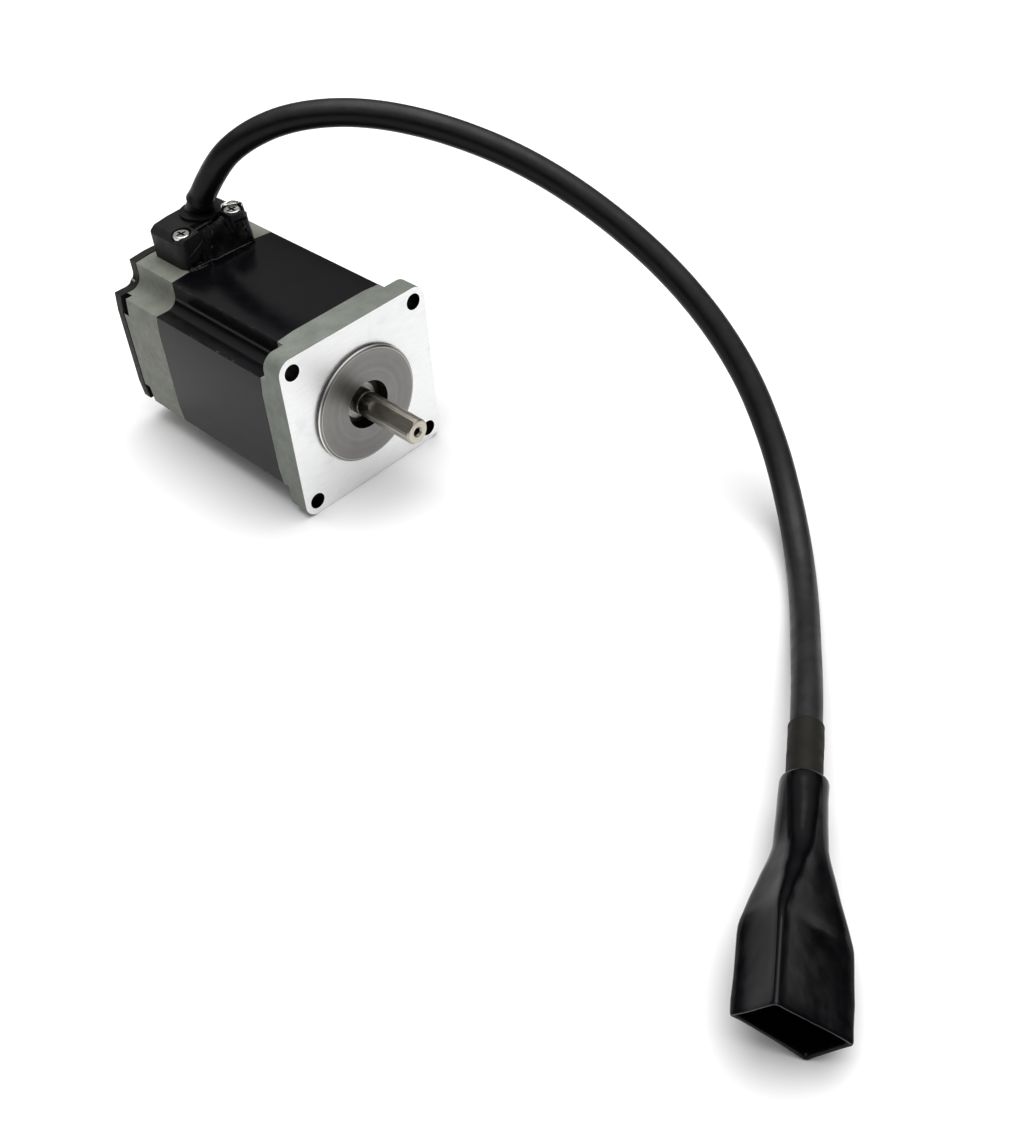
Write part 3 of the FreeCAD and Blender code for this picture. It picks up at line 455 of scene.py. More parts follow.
def vinyl():
    """Dipped vinyl: deep gloss, slow ripples and fine scratches."""
    look = Look("boot_vinyl", Specular_IOR_Level=0.3)
    body = look.ramp(look.noise(16, 4, 0.5), (0.3, (0.0016, 0.0017, 0.0026)),
                     (0.7, (0.0034, 0.0036, 0.0054)))
    scuff = look.calc("MULTIPLY", look.spread(look.noise(0.5, 5, 0.8, stretch=(1, 1, 0.3)), 0.62, 0.72),
                      look.spread(look.noise(9, 3), 0.55, 0.66, 0, 0.4))
    look.colour(look.mix(scuff, body, (0.02, 0.02, 0.023)))
    look.rough(look.noise(7, 4, 0.6), 0.13, 0.25)
    look.bump(look.noise(11, 2, 0.4), 0.22)
    look.bump(look.noise(1.2, 3, 0.5), 0.006)
    return look.mat


PILOT_RADIUS = 19.05

CAST = cast_paint("rear_casting", (0.195, 0.205, 0.175), (0.275, 0.285, 0.250))
CAST_FRONT = cast_paint("front_paint", (0.20, 0.215, 0.190), (0.275, 0.292, 0.262))
STACK = stack_paint()
MILLED = milled_face()
PILOT = turned_metal("pilot_turned", (0.21, 0.205, 0.20), (0.34, 0.335, 0.325), (0.30, 0.45),
                     rim=PILOT_RADIUS)
# Bore and hole walls: near-black metal as painted shade in these recesses, with some grease in the bore.
GREASY_SHADED_BORE = turned_metal("bore_grease_and_shade", (0.012, 0.012, 0.012), (0.05, 0.048, 0.045), (0.35, 0.5))
COVER = dull_black("cover_paint", (0.014, 0.014, 0.014), (0.034, 0.032, 0.029), (0.42, 0.6), 0.5, 0.035,
                   patch=3).mat
GASKET = dull_black("gasket", (0.012, 0.012, 0.012), (0.02, 0.02, 0.02), (0.6, 0.8)).mat
SHAFT = steel("shaft_steel", (0.34, 0.33, 0.30), (0.54, 0.52, 0.475), (0.30, 0.42), (1, 0.03, 1), 0.0012,
              0.3, (0.46, 0.43, 0.37))
SHAFT_END = turned_metal("shaft_end", (0.46, 0.43, 0.36), (0.68, 0.65, 0.57), (0.32, 0.48), 0.16, 0.012)
# Ground flat: the shaft's steel painted darker, as painted shade on the flat.
FLAT_SHADED = steel("flat_ground_painted_shade", (0.17, 0.16, 0.14), (0.27, 0.255, 0.225), (0.28, 0.4), (1, 0.06, 1), 0.004, 0.2)
RACE = steel("bearing_steel", (0.62, 0.62, 0.62), (0.80, 0.80, 0.79), (0.1, 0.24), (0.05, 1, 0.05), 0.002)
# Bearing shields seen down the bore: darkened as painted shade, with some grease.
GREASY_SHADED_SHIELD = turned_metal("shield_steel", (0.015, 0.014, 0.013), (0.30, 0.29, 0.27), (0.22, 0.4), 0.45, 0.05)
# Front inner ring: a darker copy of the race, painted shade down the bore, with some grease.
GREASY_SHADED_RING = turned_metal("ring_face_grease_and_shade", (0.02, 0.019, 0.018), (0.62, 0.61, 0.585), (0.2, 0.34), 0.4, 0.03)
CAGE = steel("cage_steel", (0.42, 0.41, 0.39), (0.58, 0.57, 0.54), (0.25, 0.4))
# Driver's cross in the screw heads: painted shade in the recess.
RECESS_SHADE = dull_black("screw_recess_painted_shade", (0.01, 0.01, 0.01), (0.03, 0.03, 0.028), (0.4, 0.6)).mat
CHROME = steel("bright_tab", (0.80, 0.80, 0.79), (0.93, 0.93, 0.92), (0.08, 0.18), (1, 1, 1), 0.01, 0.9)
SCREW = steel("screw_steel", (0.55, 0.545, 0.53), (0.82, 0.81, 0.79), (0.14, 0.3), (1, 1, 1), 0.01, 0.5,
              (0.42, 0.40, 0.37))
LAMINATION = steel("laminations", (0.20, 0.19, 0.185), (0.36, 0.35, 0.34), (0.35, 0.5), (0.02, 1, 0.02),
                   0.03, 0.5)
MAGNET = steel("magnet", (0.12, 0.12, 0.125), (0.22, 0.22, 0.225), (0.4, 0.55), (1, 1, 1), 0.03, 0.6)
COPPER = enamel_wire()
INSULATOR = moulded("insulator", (0.66, 0.64, 0.55), (0.78, 0.76, 0.67), (0.4, 0.55))
BOARD = moulded("board", (0.012, 0.09, 0.035), (0.02, 0.14, 0.055), (0.22, 0.36), Coat_Weight=0.4)
LEADS = moulded("lead_insulation", (0.32, 0.02, 0.015), (0.45, 0.035, 0.022), (0.35, 0.5))
SPLICE = steel("splice", (0.55, 0.50, 0.36), (0.78, 0.73, 0.58), (0.25, 0.4))
BLOCK = dull_black("block_plastic", (0.010, 0.010, 0.0105), (0.025, 0.025, 0.0255), (0.36, 0.55),
                   0.32, 0.03).mat
POTTING = potting()
# Compound threads: the compound painted lighter, as painted highlights along the threads.
THREADS_HIGHLIGHT = dull_black("potting_threads_highlight", (0.012, 0.012, 0.012), (0.075, 0.073, 0.072), (0.18, 0.34), 0.5, 0.03,
                     level=0.6, patch=1.6).mat
COLLAR = dull_black("collar_rubber", (0.003, 0.003, 0.0035), (0.008, 0.008, 0.0085), (0.32, 0.5),
                    0.4, 0.02).mat
JACKET = jacket()
SLEEVE = dull_black("sleeve_plastic", (0.016, 0.0145, 0.012), (0.030, 0.027, 0.022), (0.5, 0.68),
                    0.4, 0.012).mat
VINYL = vinyl()
PLUG = dull_black("plug_plastic", (0.008, 0.008, 0.008), (0.016, 0.016, 0.016), (0.4, 0.6)).mat
CONTACT = steel("contact_brass", (0.60, 0.46, 0.20), (0.78, 0.62, 0.32), (0.2, 0.34))

KEPT = {
    "front_insulator": INSULATOR, "rear_insulator": INSULATOR, "phase_a_coils": COPPER,
    "phase_b_coils": COPPER, "preload_washer": RACE, "rotor_spacer": SCREW,
    "connection_board": BOARD, "board_screws": SCREW, "phase_leads": LEADS,
    "supply_leads": LEADS, "splice_sleeves": SPLICE, "connector_housing": PLUG,
    "connector_contacts": CONTACT, "terminal_washers": SCREW, "cover_gasket": GASKET,
}
for side in ("front", "rear"):
    for part, look in (("outer_ring", RACE), ("inner_ring", RACE), ("balls", RACE), ("cage", CAGE),
                       ("shields", GREASY_SHADED_SHIELD)):
        KEPT["%s_bearing_%s" % (side, part)] = look
# The front inner ring takes the darkened copy, as painted shade in the bore.
KEPT["front_bearing_inner_ring"] = GREASY_SHADED_RING
for number in (1, 2, 3, 4):
    KEPT["rotor_cup_%d" % number] = LAMINATION
for number in (1, 2):
    KEPT["rotor_magnet_%d" % number] = MAGNET
for node, look in KEPT.items():
    mesh = NODES[node].data
    mesh.materials.clear()
    mesh.materials.append(look)


# ------------------------------------------------------------------ cable and what is on it

# From the collar, up and over to the right, down to the table and into the boot's neck.
ROUTE = [
    (2.2, 70.4, 42.5), (5.6, 63.2, 55.2), (11.6, 52.8, 65.2), (21.0, 40.0, 71.5),
    (34.0, 24.0, 72.4), (48.5, 5.6, 67.0), (61.8, -15.5, 57.0), (71.4, -38.4, 42.8),
    (76.7, -61.6, 26.4), (76.6, -82.8, 8.6), (70.7, -100.0, -8.4), (60.6, -114.0, -19.6),
    (49.0, -125.4, -24.1), (35.9, -135.8, -24.1), (19.5, -147.0, -21.0),
    (-0.91, -160.84, -16.7), (-21.3, -173.5, -16.7),
]
CABLE_RADIUS = 4.0

curve = bpy.data.curves.new("cable_line", "CURVE")
curve.dimensions = "3D"
spline = curve.splines.new("NURBS")
spline.points.add(len(ROUTE) - 1)
for point, spot in zip(spline.points, ROUTE):
    point.co = (*(Vector(spot) * MM), 1)
    point.radius = CABLE_RADIUS * MM
spline.order_u = 3
spline.use_endpoint_u = True
curve.resolution_u = 24
cable = add("free_cable", curve, (JACKET,), ("cable",))

# Without a bevel the curve's mesh is its own line, which the pieces on the cable follow.
line_mesh = bpy.data.meshes.new_from_object(cable)
LINE = [vertex.co.copy() for vertex in line_mesh.vertices]
bpy.data.meshes.remove(line_mesh)
curve.bevel_depth = 1.0
curve.bevel_resolution = 9
curve.use_fill_caps = True


def along_line(distance, from_end=False):
    """Point and direction on the cable's own line, distance mm from one end."""
    points = LINE[::-1] if from_end else LINE
    left = distance * MM
    for a, b in zip(points, points[1:]):
        step = (b - a).length
        if left <= step:
            heading = (b - a).normalized()
            return a + heading * left, heading
        left -= step
    raise ValueError("beyond the cable")


def rings_on_line(stations, from_end=False, seed=0.0):
    """Slightly uneven rings about the cable's line at (distance, radius) stations."""
    sides, wobble = 48, 0.1
    rings = []
    for distance, radius in stations:
        spot, heading = along_line(max(distance, 0.0), from_end)
        spot = spot + heading * min(distance, 0.0) * MM
        side = heading.cross(Vector((0.3, -0.2, 1))).normalized()
        other = heading.cross(side)
        ring = []
        for i in range(sides):
            turn = 2 * math.pi * i / sides
            out = side * math.cos(turn) + other * math.sin(turn)
            grow = wobble * noise.noise(Vector((math.cos(turn) * 1.4, math.sin(turn) * 1.4,
                                                distance * 0.35 + seed)))
            ring.append(spot + out * (radius + grow) * MM)
        rings.append(ring)
    return rings


sleeve_stations = [(-1.2, 4.05), (-1.2, 4.35)] + [(0.75 * i - 0.9, 4.4) for i in range(24)]
sleeve_stations += [(16.9, 4.42), (17.1, 4.36), (17.2, 4.2), (17.1, 4.0)]
bm = loft(rings_on_line(sleeve_stations, from_end=True), (False, False))
smooth(bm, 50)
sleeve = add("shrunk_sleeve", to_mesh(bm, "shrunk_sleeve"), (SLEEVE,),
             ("heat_shrink_sleeve",))

lip_stations = [(2.6, 4.01), (1.9, 4.06), (1.1, 4.18), (0.4, 4.3), (0.0, 4.34), (-0.15, 4.28), (-0.22, 3.9),
                (-0.05, 3.4)]
bm = loft(rings_on_line(lip_stations, seed=4.0), (False, True))
smooth(bm, 50)
lip = add("jacket_end", to_mesh(bm, "jacket_end"), (JACKET,))

yaw, roll = math.radians(-148.17), math.radians(41.0)
BOOT_ALONG = Vector((math.cos(yaw), math.sin(yaw), 0))
BOOT_SIDE = BOOT_ALONG.cross(Vector((0, 0, 1)))
BOOT_WIDE = -BOOT_SIDE * math.cos(roll) - Vector((0, 0, 1)) * math.sin(roll)
BOOT_HIGH = BOOT_ALONG.cross(BOOT_WIDE)
BOOT_START = Vector(ROUTE[-1])
BOOT_LENGTH, NECK_LENGTH, FLARE_LENGTH = 61.4, 19.6, 18.6
NECK = 11.4
SHOULDER_WIDE, SHOULDER_HIGH = 21.3, 12.8
# At the mouth the boot reaches further out, more so at the top, and lifts off the table.
MOUTH_REACH, MOUTH_LEAN, MOUTH_LIFT = 0.8, 0.13, 0.55


def boot_ring(level, wide, high, corner, bow):
    """Rounded rectangle across the boot, its sides drawn in by bow mm."""
    steps, flats = 7, 9
    near = max(0.0, min(1.0, (level - NECK_LENGTH) / (BOOT_LENGTH - NECK_LENGTH)))
    half_w, half_h = wide / 2, high / 2
    corner = min(corner, half_w - 0.01, half_h - 0.01)
    points = []
    corners = [(1, 1, 0), (-1, 1, 90), (-1, -1, 180), (1, -1, 270)]
    for k, (sx, sy, start) in enumerate(corners):
        for i in range(steps + 1):
            turn = math.radians(start + 90.0 * i / steps)
            points.append((sx * (half_w - corner) + corner * math.cos(turn),
                           sy * (half_h - corner) + corner * math.sin(turn)))
        nx, ny, following = corners[(k + 1) % 4]
        turn = math.radians(following)
        end = (nx * (half_w - corner) + corner * math.cos(turn),
               ny * (half_h - corner) + corner * math.sin(turn))
        begin = points[-1]
        inward = Vector((-(begin[0] + end[0]), -(begin[1] + end[1]))).normalized()
        for i in range(1, flats + 1):
            share = i / (flats + 1)
            dip = bow * (1 - (2 * share - 1) ** 2)
            points.append((begin[0] * (1 - share) + end[0] * share + inward.x * dip,
                           begin[1] * (1 - share) + end[1] * share + inward.y * dip))
    ring = []
    for x, y in points:
        spot = BOOT_START + BOOT_ALONG * level + BOOT_WIDE * x + BOOT_HIGH * y
        lean = max(0.0, spot.z - BOOT_START.z) * MOUTH_LEAN + MOUTH_REACH
        spot += BOOT_ALONG * lean * near + Vector((0, 0, MOUTH_LIFT * near))
        outward = (BOOT_WIDE * x + BOOT_HIGH * y).normalized()
        ring.append((spot + outward * 0.18 * noise.noise(spot * 0.16)) * MM)
    return ring


def boot_mesh():
    """Rolled edge round the cable, neck, flare, straight mouth and the mouth's inside, as
    (level, width, height, corner, bow) sections."""
    sections = [(2.4, 9.3, 9.3, 4.6, 0), (0.5, 9.3, 9.3, 4.6, 0), (0.05, 9.8, 9.8, 4.8, 0),
                (-0.1, 10.5, 10.5, 5.1, 0), (0.1, 11.1, 11.1, 5.3, 0), (0.7, 11.4, 11.4, 5.5, 0)]
    for i in range(1, 9):
        across = NECK - 0.15 * math.sin(math.pi * i / 9)
        sections.append((0.7 + 2.3 * i, across, across, 5.5 - 0.16 * i, 0))
    steps = 14
    for i in range(1, steps + 1):
        share = i / steps
        ease = share * share * (3 - 2 * share) * 0.12 + share * 0.88
        sections.append((NECK_LENGTH + FLARE_LENGTH * share, NECK + (SHOULDER_WIDE - NECK) * ease,
                         NECK + (SHOULDER_HIGH - NECK) * ease, 4.2 * (1 - share) + 1.7 * share, 0.25 * share))
    sections += [(39.9, 22.0, 13.2, 1.5, 0.3), (41.4, 22.3, 13.4, 1.25, 0.34),
                 (43.5, 22.35, 13.45, 1.1, 0.4), (48.0, 22.35, 13.45, 1.0, 0.45),
                 (53.0, 22.35, 13.45, 0.95, 0.42), (58.0, 22.3, 13.43, 0.95, 0.34),
                 (60.6, 22.3, 13.43, 0.95, 0.26), (61.1, 22.2, 13.3, 0.9, 0.24),
                 (BOOT_LENGTH, 21.9, 13.0, 0.8, 0.22), (BOOT_LENGTH, 20.9, 12.0, 0.7, 0.2),
                 (61.1, 20.3, 11.4, 0.6, 0.15), (60.4, 20.0, 11.1, 0.6, 0.1),
                 (51.2, 18.95, 9.85, 0.6, 0.0), (50.4, 18.95, 9.85, 0.6, 0.0)]
    bm = loft([boot_ring(*section) for section in sections], (False, False))
    smooth(bm, 60)
    return to_mesh(bm, "boot")


boot = add("boot_shell", boot_mesh(), (VINYL,), ("connector_boot",))


# ------------------------------------------------------------------ motor case

# The corner holes' place, how far out a hole's and the bore's walls reach, and where the
# rear bell's reliefs lie along the shaft.
HOLE_ASIDE, HOLE_REACH, BORE_REACH = 23.57, 2.65, 11.1
RELIEF_NEAR, RELIEF_FAR = 77.39, 79.99


def outside(limit):
    """Edges this far out from the shaft's axis, in mm."""
    return lambda p: max(abs(p.x), abs(p.z)) > limit or math.hypot(p.x, p.z) > limit + 4


def front_side(face):
    """Which of the front bell's looks a face has: cast, milled, turned, or the bore and hole walls darkened
    as painted shade, with some grease in the bore.
    """
    spots = [vert.co / MM for vert in face.verts]
    centre = sum(spots, Vector()) / len(spots)
    if max(math.hypot(spot.x, spot.z) for spot in spots) < BORE_REACH:
        return 3
    if min(spot.y for spot in spots) < -0.001:
        return 2
    from_hole = math.hypot(abs(centre.x) - HOLE_ASIDE, abs(centre.z) - HOLE_ASIDE)
    if abs(face.normal.y) < 0.5 and from_hole < HOLE_REACH:
        return 3
    return 1 if face.normal.y < -0.9 and centre.y < 0.01 else 0


def rear_side(face):
    """The reliefs at the back of the rear bell's lips get the black potting look."""
    centre = face.calc_center_median() / MM
    relief = RELIEF_NEAR < centre.y < RELIEF_FAR and 13.4 < abs(centre.z) < LIP_ASIDE
    return 1 if relief and 25.1 < abs(centre.x) < 28.15 else 0


def front_edges(p):
    """The face's edges but for the innermost bore's, and behind it only the outside."""
    if p.y < 0.02:
        return math.hypot(p.x, p.z) > 7.0
    return max(abs(p.x), abs(p.z)) > 19.0


softened("front_bell", 0.3, 3, (CAST_FRONT, MILLED, PILOT, GREASY_SHADED_BORE), front_edges, front_side)
softened("stator_core", 0.35, 3, (STACK,), outside(19.3))
softened("rear_bell", 0.3, 3, (CAST, POTTING), outside(19.3), rear_side)
softened("rear_cover", 0.25, 2, (COVER,), outside(14.0))
softened("through_bolts", 0.2, 2, (SCREW,))


# ------------------------------------------------------------------ shaft

SHAFT_TIP = -23.2
FLAT_HEIGHT, FLAT_END, RUN_OUT_RADIUS = 3.5, -7.5, 6.0
FLAT_TURN = Matrix.Rotation(math.radians(-39.8), 3, "Y")


def shaft_mesh():
    """Shaft from the centre hole in its end to its rear journal."""
    bm = lathe([(0.02, -18.6), (1.15, -19.2), (1.15, -22.6), (1.3, -22.85), (1.7, SHAFT_TIP),
                (3.42, SHAFT_TIP),
                (3.62, -23.12), (3.95, -22.72), (4.0, -22.5), (4.0, -1.6), (3.8, -1.6),
                (3.8, -0.8), (4.02, -0.8), (4.02, 9.0),
                (5.0, 9.0), (5.0, 66.0), (4.02, 66.0), (4.02, 78.1), (3.6, 78.5), (0.02, 78.5)])
    smooth(bm, 25)
    return to_mesh(bm, "shaft")


def flat_cutter():
    """Block whose underside runs level along the flat and curves up at its end."""
    start, top, half_width = -26.0, 8.0, 6.0
    section = [(start, FLAT_HEIGHT), (FLAT_END, FLAT_HEIGHT)]
    for i in range(1, 13):
        turn = math.radians(3.2 * i)
        section.append((FLAT_END + RUN_OUT_RADIUS * math.sin(turn),
                        FLAT_HEIGHT + RUN_OUT_RADIUS - RUN_OUT_RADIUS * math.cos(turn)))
    section += [(section[-1][0], top), (start, top)]
    bm = bmesh.new()
    rows = [[bm.verts.new(FLAT_TURN @ Vector((x, y, z)) * MM) for y, z in section]
            for x in (-half_width, half_width)]
    for i in range(len(section)):
        j = (i + 1) % len(section)
        bm.faces.new((rows[0][i], rows[0][j], rows[1][j], rows[1][i]))
    bm.faces.new(rows[0])
    bm.faces.new(rows[1][::-1])
    bmesh.ops.recalc_face_normals(bm, faces=bm.faces)
    return to_mesh(bm, "cutter")


def carve(mesh, tool_mesh):
    """The first mesh less the second."""
    made = [bpy.data.objects.new(name, data) for name, data in (("carved", mesh), ("tool", tool_mesh))]
    for obj in made:
        bpy.context.scene.collection.objects.link(obj)
    mod = made[0].modifiers.new("carve", "BOOLEAN")
    mod.operation, mod.solver, mod.object = "DIFFERENCE", "EXACT", made[1]
    bpy.context.view_layer.update()
    carved = made[0].evaluated_get(bpy.context.evaluated_depsgraph_get())
    result = bpy.data.meshes.new_from_object(carved)
    for obj in made:
        bpy.data.objects.remove(obj)
    return result


shaft_shape = carve(shaft_mesh(), flat_cutter())
flat_normal = FLAT_TURN @ Vector((0, 0, 1))
bm = bmesh.new()
bm.from_mesh(shaft_shape)
bmesh.ops.recalc_face_normals(bm, faces=bm.faces)
for face in bm.faces:
    face.material_index = 0
    middle = face.calc_center_median() / MM
    if face.normal.dot(flat_normal) > 0.75 and middle.dot(flat_normal) < 3.98 and middle.y < -3:
        face.material_index = 1
    if face.normal.y < -0.95 and middle.y < SHAFT_TIP + 0.1:
        face.material_index = 2
smooth(bm, 22)
shaft = add("output_shaft", to_mesh(bm, "output_shaft"), (SHAFT, FLAT_SHADED, SHAFT_END),
            ("shaft",), "rotor")
bevelled(shaft, 0.07, 2, 28)


# ------------------------------------------------------------------ terminal block

# Half width, front face and corner radius; where the two screws stand; the compound's foot.
BLOCK_WIDE, BLOCK_FRONT, BLOCK_ROUND = 13.5, 61.2, 3.2
SCREW_ASIDE, SCREW_ALONG = 9.7, 65.6
COMPOUND_FOOT = 28.1


def round_block(bm):
    """Round the block's two upright front edges over."""
    cuts = [(side * (BLOCK_WIDE - share * BLOCK_ROUND), 0)
            for side in (-1, 1) for share in (1.0, 0.7, 0.42, 0.2)]
    cuts += [(0, BLOCK_FRONT + share * BLOCK_ROUND) for share in (1.0, 0.7, 0.42)]
    for x, y in cuts:
        everything = bm.verts[:] + bm.edges[:] + bm.faces[:]
        bmesh.ops.bisect_plane(bm, geom=everything, dist=1e-6, plane_co=Vector((x, y, 0)) * MM,
                               plane_no=(1, 0, 0) if x else (0, 1, 0))
    for vert in bm.verts:
        out = abs(vert.co.x) / MM - BLOCK_WIDE + BLOCK_ROUND
        ahead = BLOCK_FRONT + BLOCK_ROUND - vert.co.y / MM
        far = math.hypot(out, ahead)
        if out > 0 and ahead > 0 and far > BLOCK_ROUND:
            share = BLOCK_ROUND / far
            vert.co.x = math.copysign(BLOCK_WIDE - BLOCK_ROUND + out * share, vert.co.x) * MM
            vert.co.y = (BLOCK_FRONT + BLOCK_ROUND - ahead * share) * MM


def round_corner(x):
    """How far back the block's front lies at x, where its corners are rounded."""
    past = min(BLOCK_ROUND, max(0.0, abs(x) - BLOCK_WIDE + BLOCK_ROUND))
    return BLOCK_ROUND - math.sqrt(BLOCK_ROUND ** 2 - past ** 2)


softened("terminal_block", 0.35, 3, (BLOCK,), reshape=round_block)


def screw_side(face):
    """Walls and floor of the driver's cross are painted darker than the head, as painted shade in the recess.
    """
    centre = face.calc_center_median() / MM
    out = math.hypot(abs(centre.x) - SCREW_ASIDE, centre.y - SCREW_ALONG)
    return 1 if out < 1.75 and 37.1 < centre.z < 38.25 else 0


def head_rims(p):
    """Edges outside the driver's cross."""
    return math.hypot(abs(p.x) - SCREW_ASIDE, p.y - SCREW_ALONG) > 2.0


softened("terminal_screws", 0.45, 4, (SCREW, RECESS_SHADE), head_rims, screw_side)
softened("cable_collar", 0.3, 3, (COLLAR,))


def compound_mesh():
    """Smeared compound: it fills the block's sloping recess, covers the front below
    one screw and spills over its foot."""
    slope = [(66.9, 37.6), (65.6, 38.1), (64.2, 37.6), (63.0, 36.6), (62.0, 35.2), (61.1, 33.6),
             (60.3, 31.9), (59.6, 30.5), (58.9, 29.3), (58.4, COMPOUND_FOOT)]
    front = [(62.6, 37.2), (61.5, 37.5), (60.8, 36.9), (60.5, 36.1), (60.4, 35.0), (60.3, 33.7),
             (60.1, 32.2), (59.6, 30.7), (59.0, 29.4), (58.5, COMPOUND_FOOT)]
    back = [(62.5, COMPOUND_FOOT), (64.5, 30.5), (66.5, 35.0)]
    left_end, right_end = -12.6, 12.8
    columns = 72
    rings = []
    for c in range(columns + 1):
        x = left_end + (right_end - left_end) * c / columns
        right = min(1.0, max(0.0, (x - 5.2) / 2.2))
        left = min(1.0, max(0.0, (-5.0 - x) / 1.8))
        over = max(right, left)
        over = over * over * (3 - 2 * over)
        end = max(0.0, min((x - left_end) / 2.0, (right_end - x) / 1.6, 1.0))
        thick = math.sqrt(max(0.0, 1 - (1 - end) ** 2)) * (1 - 0.8 * left * left)
        ring = []
        for (ya, za), (yb, zb) in zip(slope, front):
            y, z = ya + (yb - ya) * over, za + (zb - za) * over
            buried = BLOCK_FRONT + 0.1
            if y < buried:
                y += (1 - thick) * (buried - y)
            z -= left * max(0.0, z - COMPOUND_FOOT) * 0.42
            z -= max(0.0, x - 9.5) * max(0.0, z - 33.0) * 0.09
            if z < 28.5 and x < 0:
                y = min(y, 59.5)
            ring.append(Vector((x, y + round_corner(x), z)) * MM)
        for y, z in back:
            ring.append(Vector((x, y + 0.6 * (1 - over) + 0.5 * round_corner(x),
                                z - left * (z - COMPOUND_FOOT) * 0.5)) * MM)
        rings.append(ring)
    bm = loft(rings)
    bmesh.ops.recalc_face_normals(bm, faces=bm.faces)
    bmesh.ops.subdivide_edges(bm, edges=bm.edges, cuts=2, use_grid_fill=True, smooth=0.0)
    bm.normal_update()
    moves = {}
    for vert in bm.verts:
        p = vert.co / MM
        lumps = noise.fractal(Vector((p.x * 0.24, p.y * 0.2, p.z * 0.2)), 1.0, 2.1, 1)
        across = noise.noise(Vector((p.x * 0.34 + p.z * 0.2 + 7, p.y * 0.15, p.z * 0.15)))
        strands = 1 - abs(across) * 4.5
        moves[vert] = vert.normal * (0.28 * lumps + 0.10 * max(0.0, strands) ** 2 - 0.05) * MM
    for vert, move in moves.items():
        vert.co += move
        vert.co.z = max(vert.co.z, (COMPOUND_FOOT - 0.07) * MM)
    smooth(bm, 70)
    return to_mesh(bm, "compound")


def draw_thread(bm, radius, spots):
    """Tapered thread on a smooth curve through the spots."""
    steps, sides = 8, 10
    spots = [Vector(spot) for spot in spots]
    count = steps * (len(spots) - 1)
    rows = []
    for i in range(count + 1):
        leg = min(i // steps, len(spots) - 2)
        share = i / steps - leg
        a, b = spots[leg], spots[leg + 1]
        before, after = spots[max(leg - 1, 0)], spots[min(leg + 2, len(spots) - 1)]
        spot = 0.5 * (2 * a + (b - before) * share + (2 * before - 5 * a + 4 * b - after) * share ** 2
                      + (3 * a - before - 3 * b + after) * share ** 3)
        heading = (b - a).normalized()
        side = heading.cross(Vector((0.1, -0.6, 0.8))).normalized()
        other = heading.cross(side)
        along = i / count
        grow = radius * (4 * along * (1 - along)) ** 0.3 * (1 + 0.4 * noise.noise(spot * 0.7)) + 0.01
        row = []
        for t in range(sides):
            turn = 2 * math.pi * t / sides
            row.append(bm.verts.new((spot + (side * math.cos(turn) + other * math.sin(turn)) * grow) * MM))
        rows.append(row)
    for low, high in zip(rows, rows[1:]):
        for t in range(sides):
            bm.faces.new((low[t], low[(t + 1) % sides], high[(t + 1) % sides], high[t]))
    for row in (rows[0], rows[-1]):
        bm.faces.new(row)


def strand_mesh():
    """Drawn-out threads and a rolled lip of compound that lie over the smeared lump."""
    bm = bmesh.new()
    draw_thread(bm, 0.17, [(-12.0, 61.6, 31.8), (-10.3, 61.15, 32.9), (-8.7, 61.05, 33.9), (-7.0, 61.0, 34.8),
                           (-5.4, 61.6, 35.5)])
    draw_thread(bm, 0.34, [(-8.6, 62.2, 38.4), (-6.6, 63.3, 38.45), (-4.3, 64.3, 38.2), (-1.4, 64.7, 38.2),
                           (0.8, 64.9, 38.2), (2.4, 65.6, 38.1)])
    draw_thread(bm, 0.26, [(-8.4, 60.3, 28.6), (-6.6, 59.9, 29.0), (-5.2, 59.2, 29.4), (-3.7, 58.7, 29.2),
                           (-0.5, 58.6, 29.3), (3.9, 58.7, 29.2), (8.4, 58.8, 29.0), (11.2, 59.3, 28.9)])
    draw_thread(bm, 0.2, [(-3.8, 60.7, 32.2), (-3.3, 60.6, 32.5), (-3.0, 60.7, 32.8)])
    draw_thread(bm, 0.2, [(8.6, 60.2, 33.4), (9.4, 60.15, 33.8), (10.0, 60.3, 34.4)])
    draw_thread(bm, 0.16, [(-1.2, 62.0, 35.4), (-0.6, 62.6, 36.2), (0.4, 63.3, 36.9)])
    smooth(bm, 70)
    return to_mesh(bm, "strands")


def tab_mesh():
    """Bright curled lug that stands up round the back of the far screw."""
    middle_x, middle_y, foot = SCREW_ASIDE + 0.2, SCREW_ALONG + 0.1, 36.3
    thick, lean = 0.62, 0.45 / 3.2
    columns = 32
    rings = []
    for c in range(columns + 1):
        share = c / columns
        turn = math.radians(-38 + 178 * share)
        radius = 3.25 + 0.25 * math.sin(share * 9)
        top = 39.45 - 0.5 * (2 * share - 1) ** 2 + 0.12 * math.sin(share * 17)
        ring = []
        for out, up in ((0.0, foot), (0.0, top - 0.6), (0.05, top - 0.15), (0.25, top), (0.5, top - 0.1),
                        (thick, top - 0.5), (thick, foot)):
            reach = radius + out - lean * (up - foot)
            ring.append(Vector((middle_x + reach * math.cos(turn),
                                middle_y + reach * math.sin(turn), up)) * MM)
        rings.append(ring)
    bm = loft(rings)
    smooth(bm, 50)
    return to_mesh(bm, "tab")


add("curled_tab", tab_mesh(), (CHROME,), ("terminal_tab",))
add("smeared_compound", compound_mesh(), (POTTING,), ("potting_compound",))
add("compound_strands", strand_mesh(), (THREADS_HIGHLIGHT,))


# ------------------------------------------------------------------ floor and light

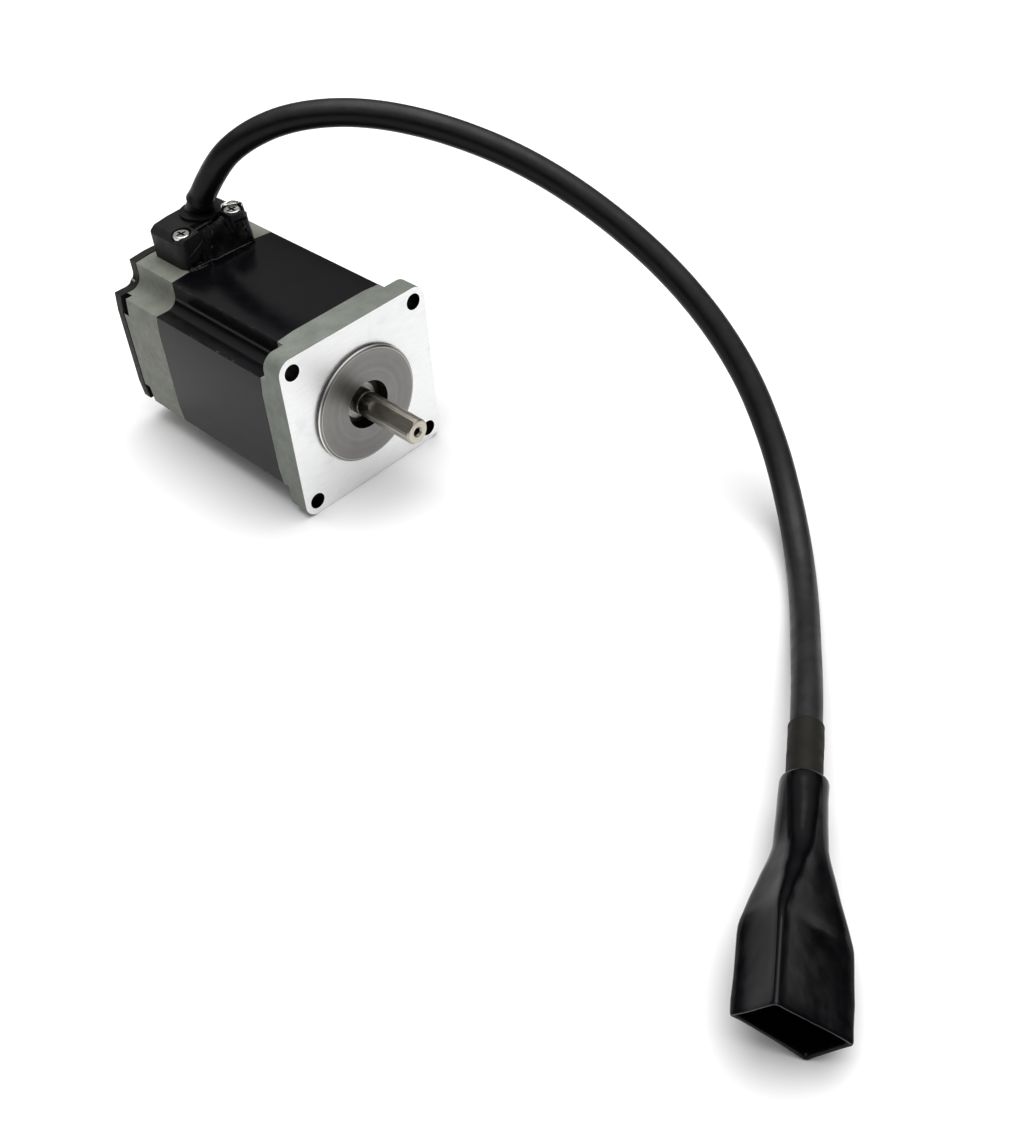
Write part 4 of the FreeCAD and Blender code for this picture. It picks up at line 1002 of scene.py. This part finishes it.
def floor():
    """White table, so wide that low views don't see its edge, just under the object."""
    half_size, gap = 40.0, 0.00005
    look = Look("floor", Specular_IOR_Level=0.1)
    look.colour(look.ramp(look.noise(60, 3), (0.3, (0.93, 0.93, 0.93)), (0.7, (0.945, 0.945, 0.945))))
    look.rough(look.noise(20, 3), 0.8, 0.95)
    bm = bmesh.new()
    bmesh.ops.create_grid(bm, x_segments=2, y_segments=2, size=half_size)
    bmesh.ops.translate(bm, verts=bm.verts, vec=(0, 0, cad_box[0][2] - gap))
    mesh = to_mesh(bm, "floor")
    mesh.materials.append(look.mat)
    obj = bpy.data.objects.new("floor", mesh)
    bpy.context.scene.collection.objects.link(obj)


def sun(name, source, energy, spread):
    """Very broad, distant light from a direction."""
    light = bpy.data.lights.new(name, "SUN")
    light.energy = energy
    light.angle = math.radians(spread)
    obj = bpy.data.objects.new(name, light)
    bpy.context.scene.collection.objects.link(obj)
    obj.location = source
    obj.rotation_euler = (-Vector(source)).to_track_quat("-Z", "Y").to_euler()


def sky():
    """Dark surroundings under a pale ceiling, with a white backdrop past the floor's end."""
    world = bpy.data.worlds.new("sky")
    bpy.context.scene.world = world
    world.use_nodes = True
    tree = world.node_tree
    split = tree.nodes.new("ShaderNodeSeparateXYZ")
    ramp = tree.nodes.new("ShaderNodeValToRGB")
    tree.links.new(tree.nodes.new("ShaderNodeTexCoord").outputs["Generated"], split.inputs[0])
    tree.links.new(split.outputs["Z"], ramp.inputs[0])
    tree.links.new(ramp.outputs[0], tree.nodes["Background"].inputs[0])
    levels = ((0.0, 0.025), (0.28, 0.05), (0.62, 0.85))
    stops = ramp.color_ramp.elements
    stops.new(levels[1][0])
    for stop, (position, level) in zip(stops, levels):
        stop.position, stop.color = position, (level, level, level, 1)
    backdrop = tree.nodes.new("ShaderNodeBackground")
    backdrop.inputs[0].default_value = (1, 1, 1, 1)
    swap = tree.nodes.new("ShaderNodeMixShader")
    tree.links.new(tree.nodes.new("ShaderNodeLightPath").outputs["Is Camera Ray"], swap.inputs[0])
    tree.links.new(tree.nodes["Background"].outputs[0], swap.inputs[1])
    tree.links.new(backdrop.outputs[0], swap.inputs[2])
    tree.links.new(swap.outputs[0], tree.nodes["World Output"].inputs[0])


floor()
sky()
sun("ceiling", (0.18, 0.08, 1.0), 2.1, 60)
bpy.context.scene.view_settings.view_transform = "Standard"
bpy.context.scene.view_settings.gamma = 0.8

bpy.context.view_layer.update()
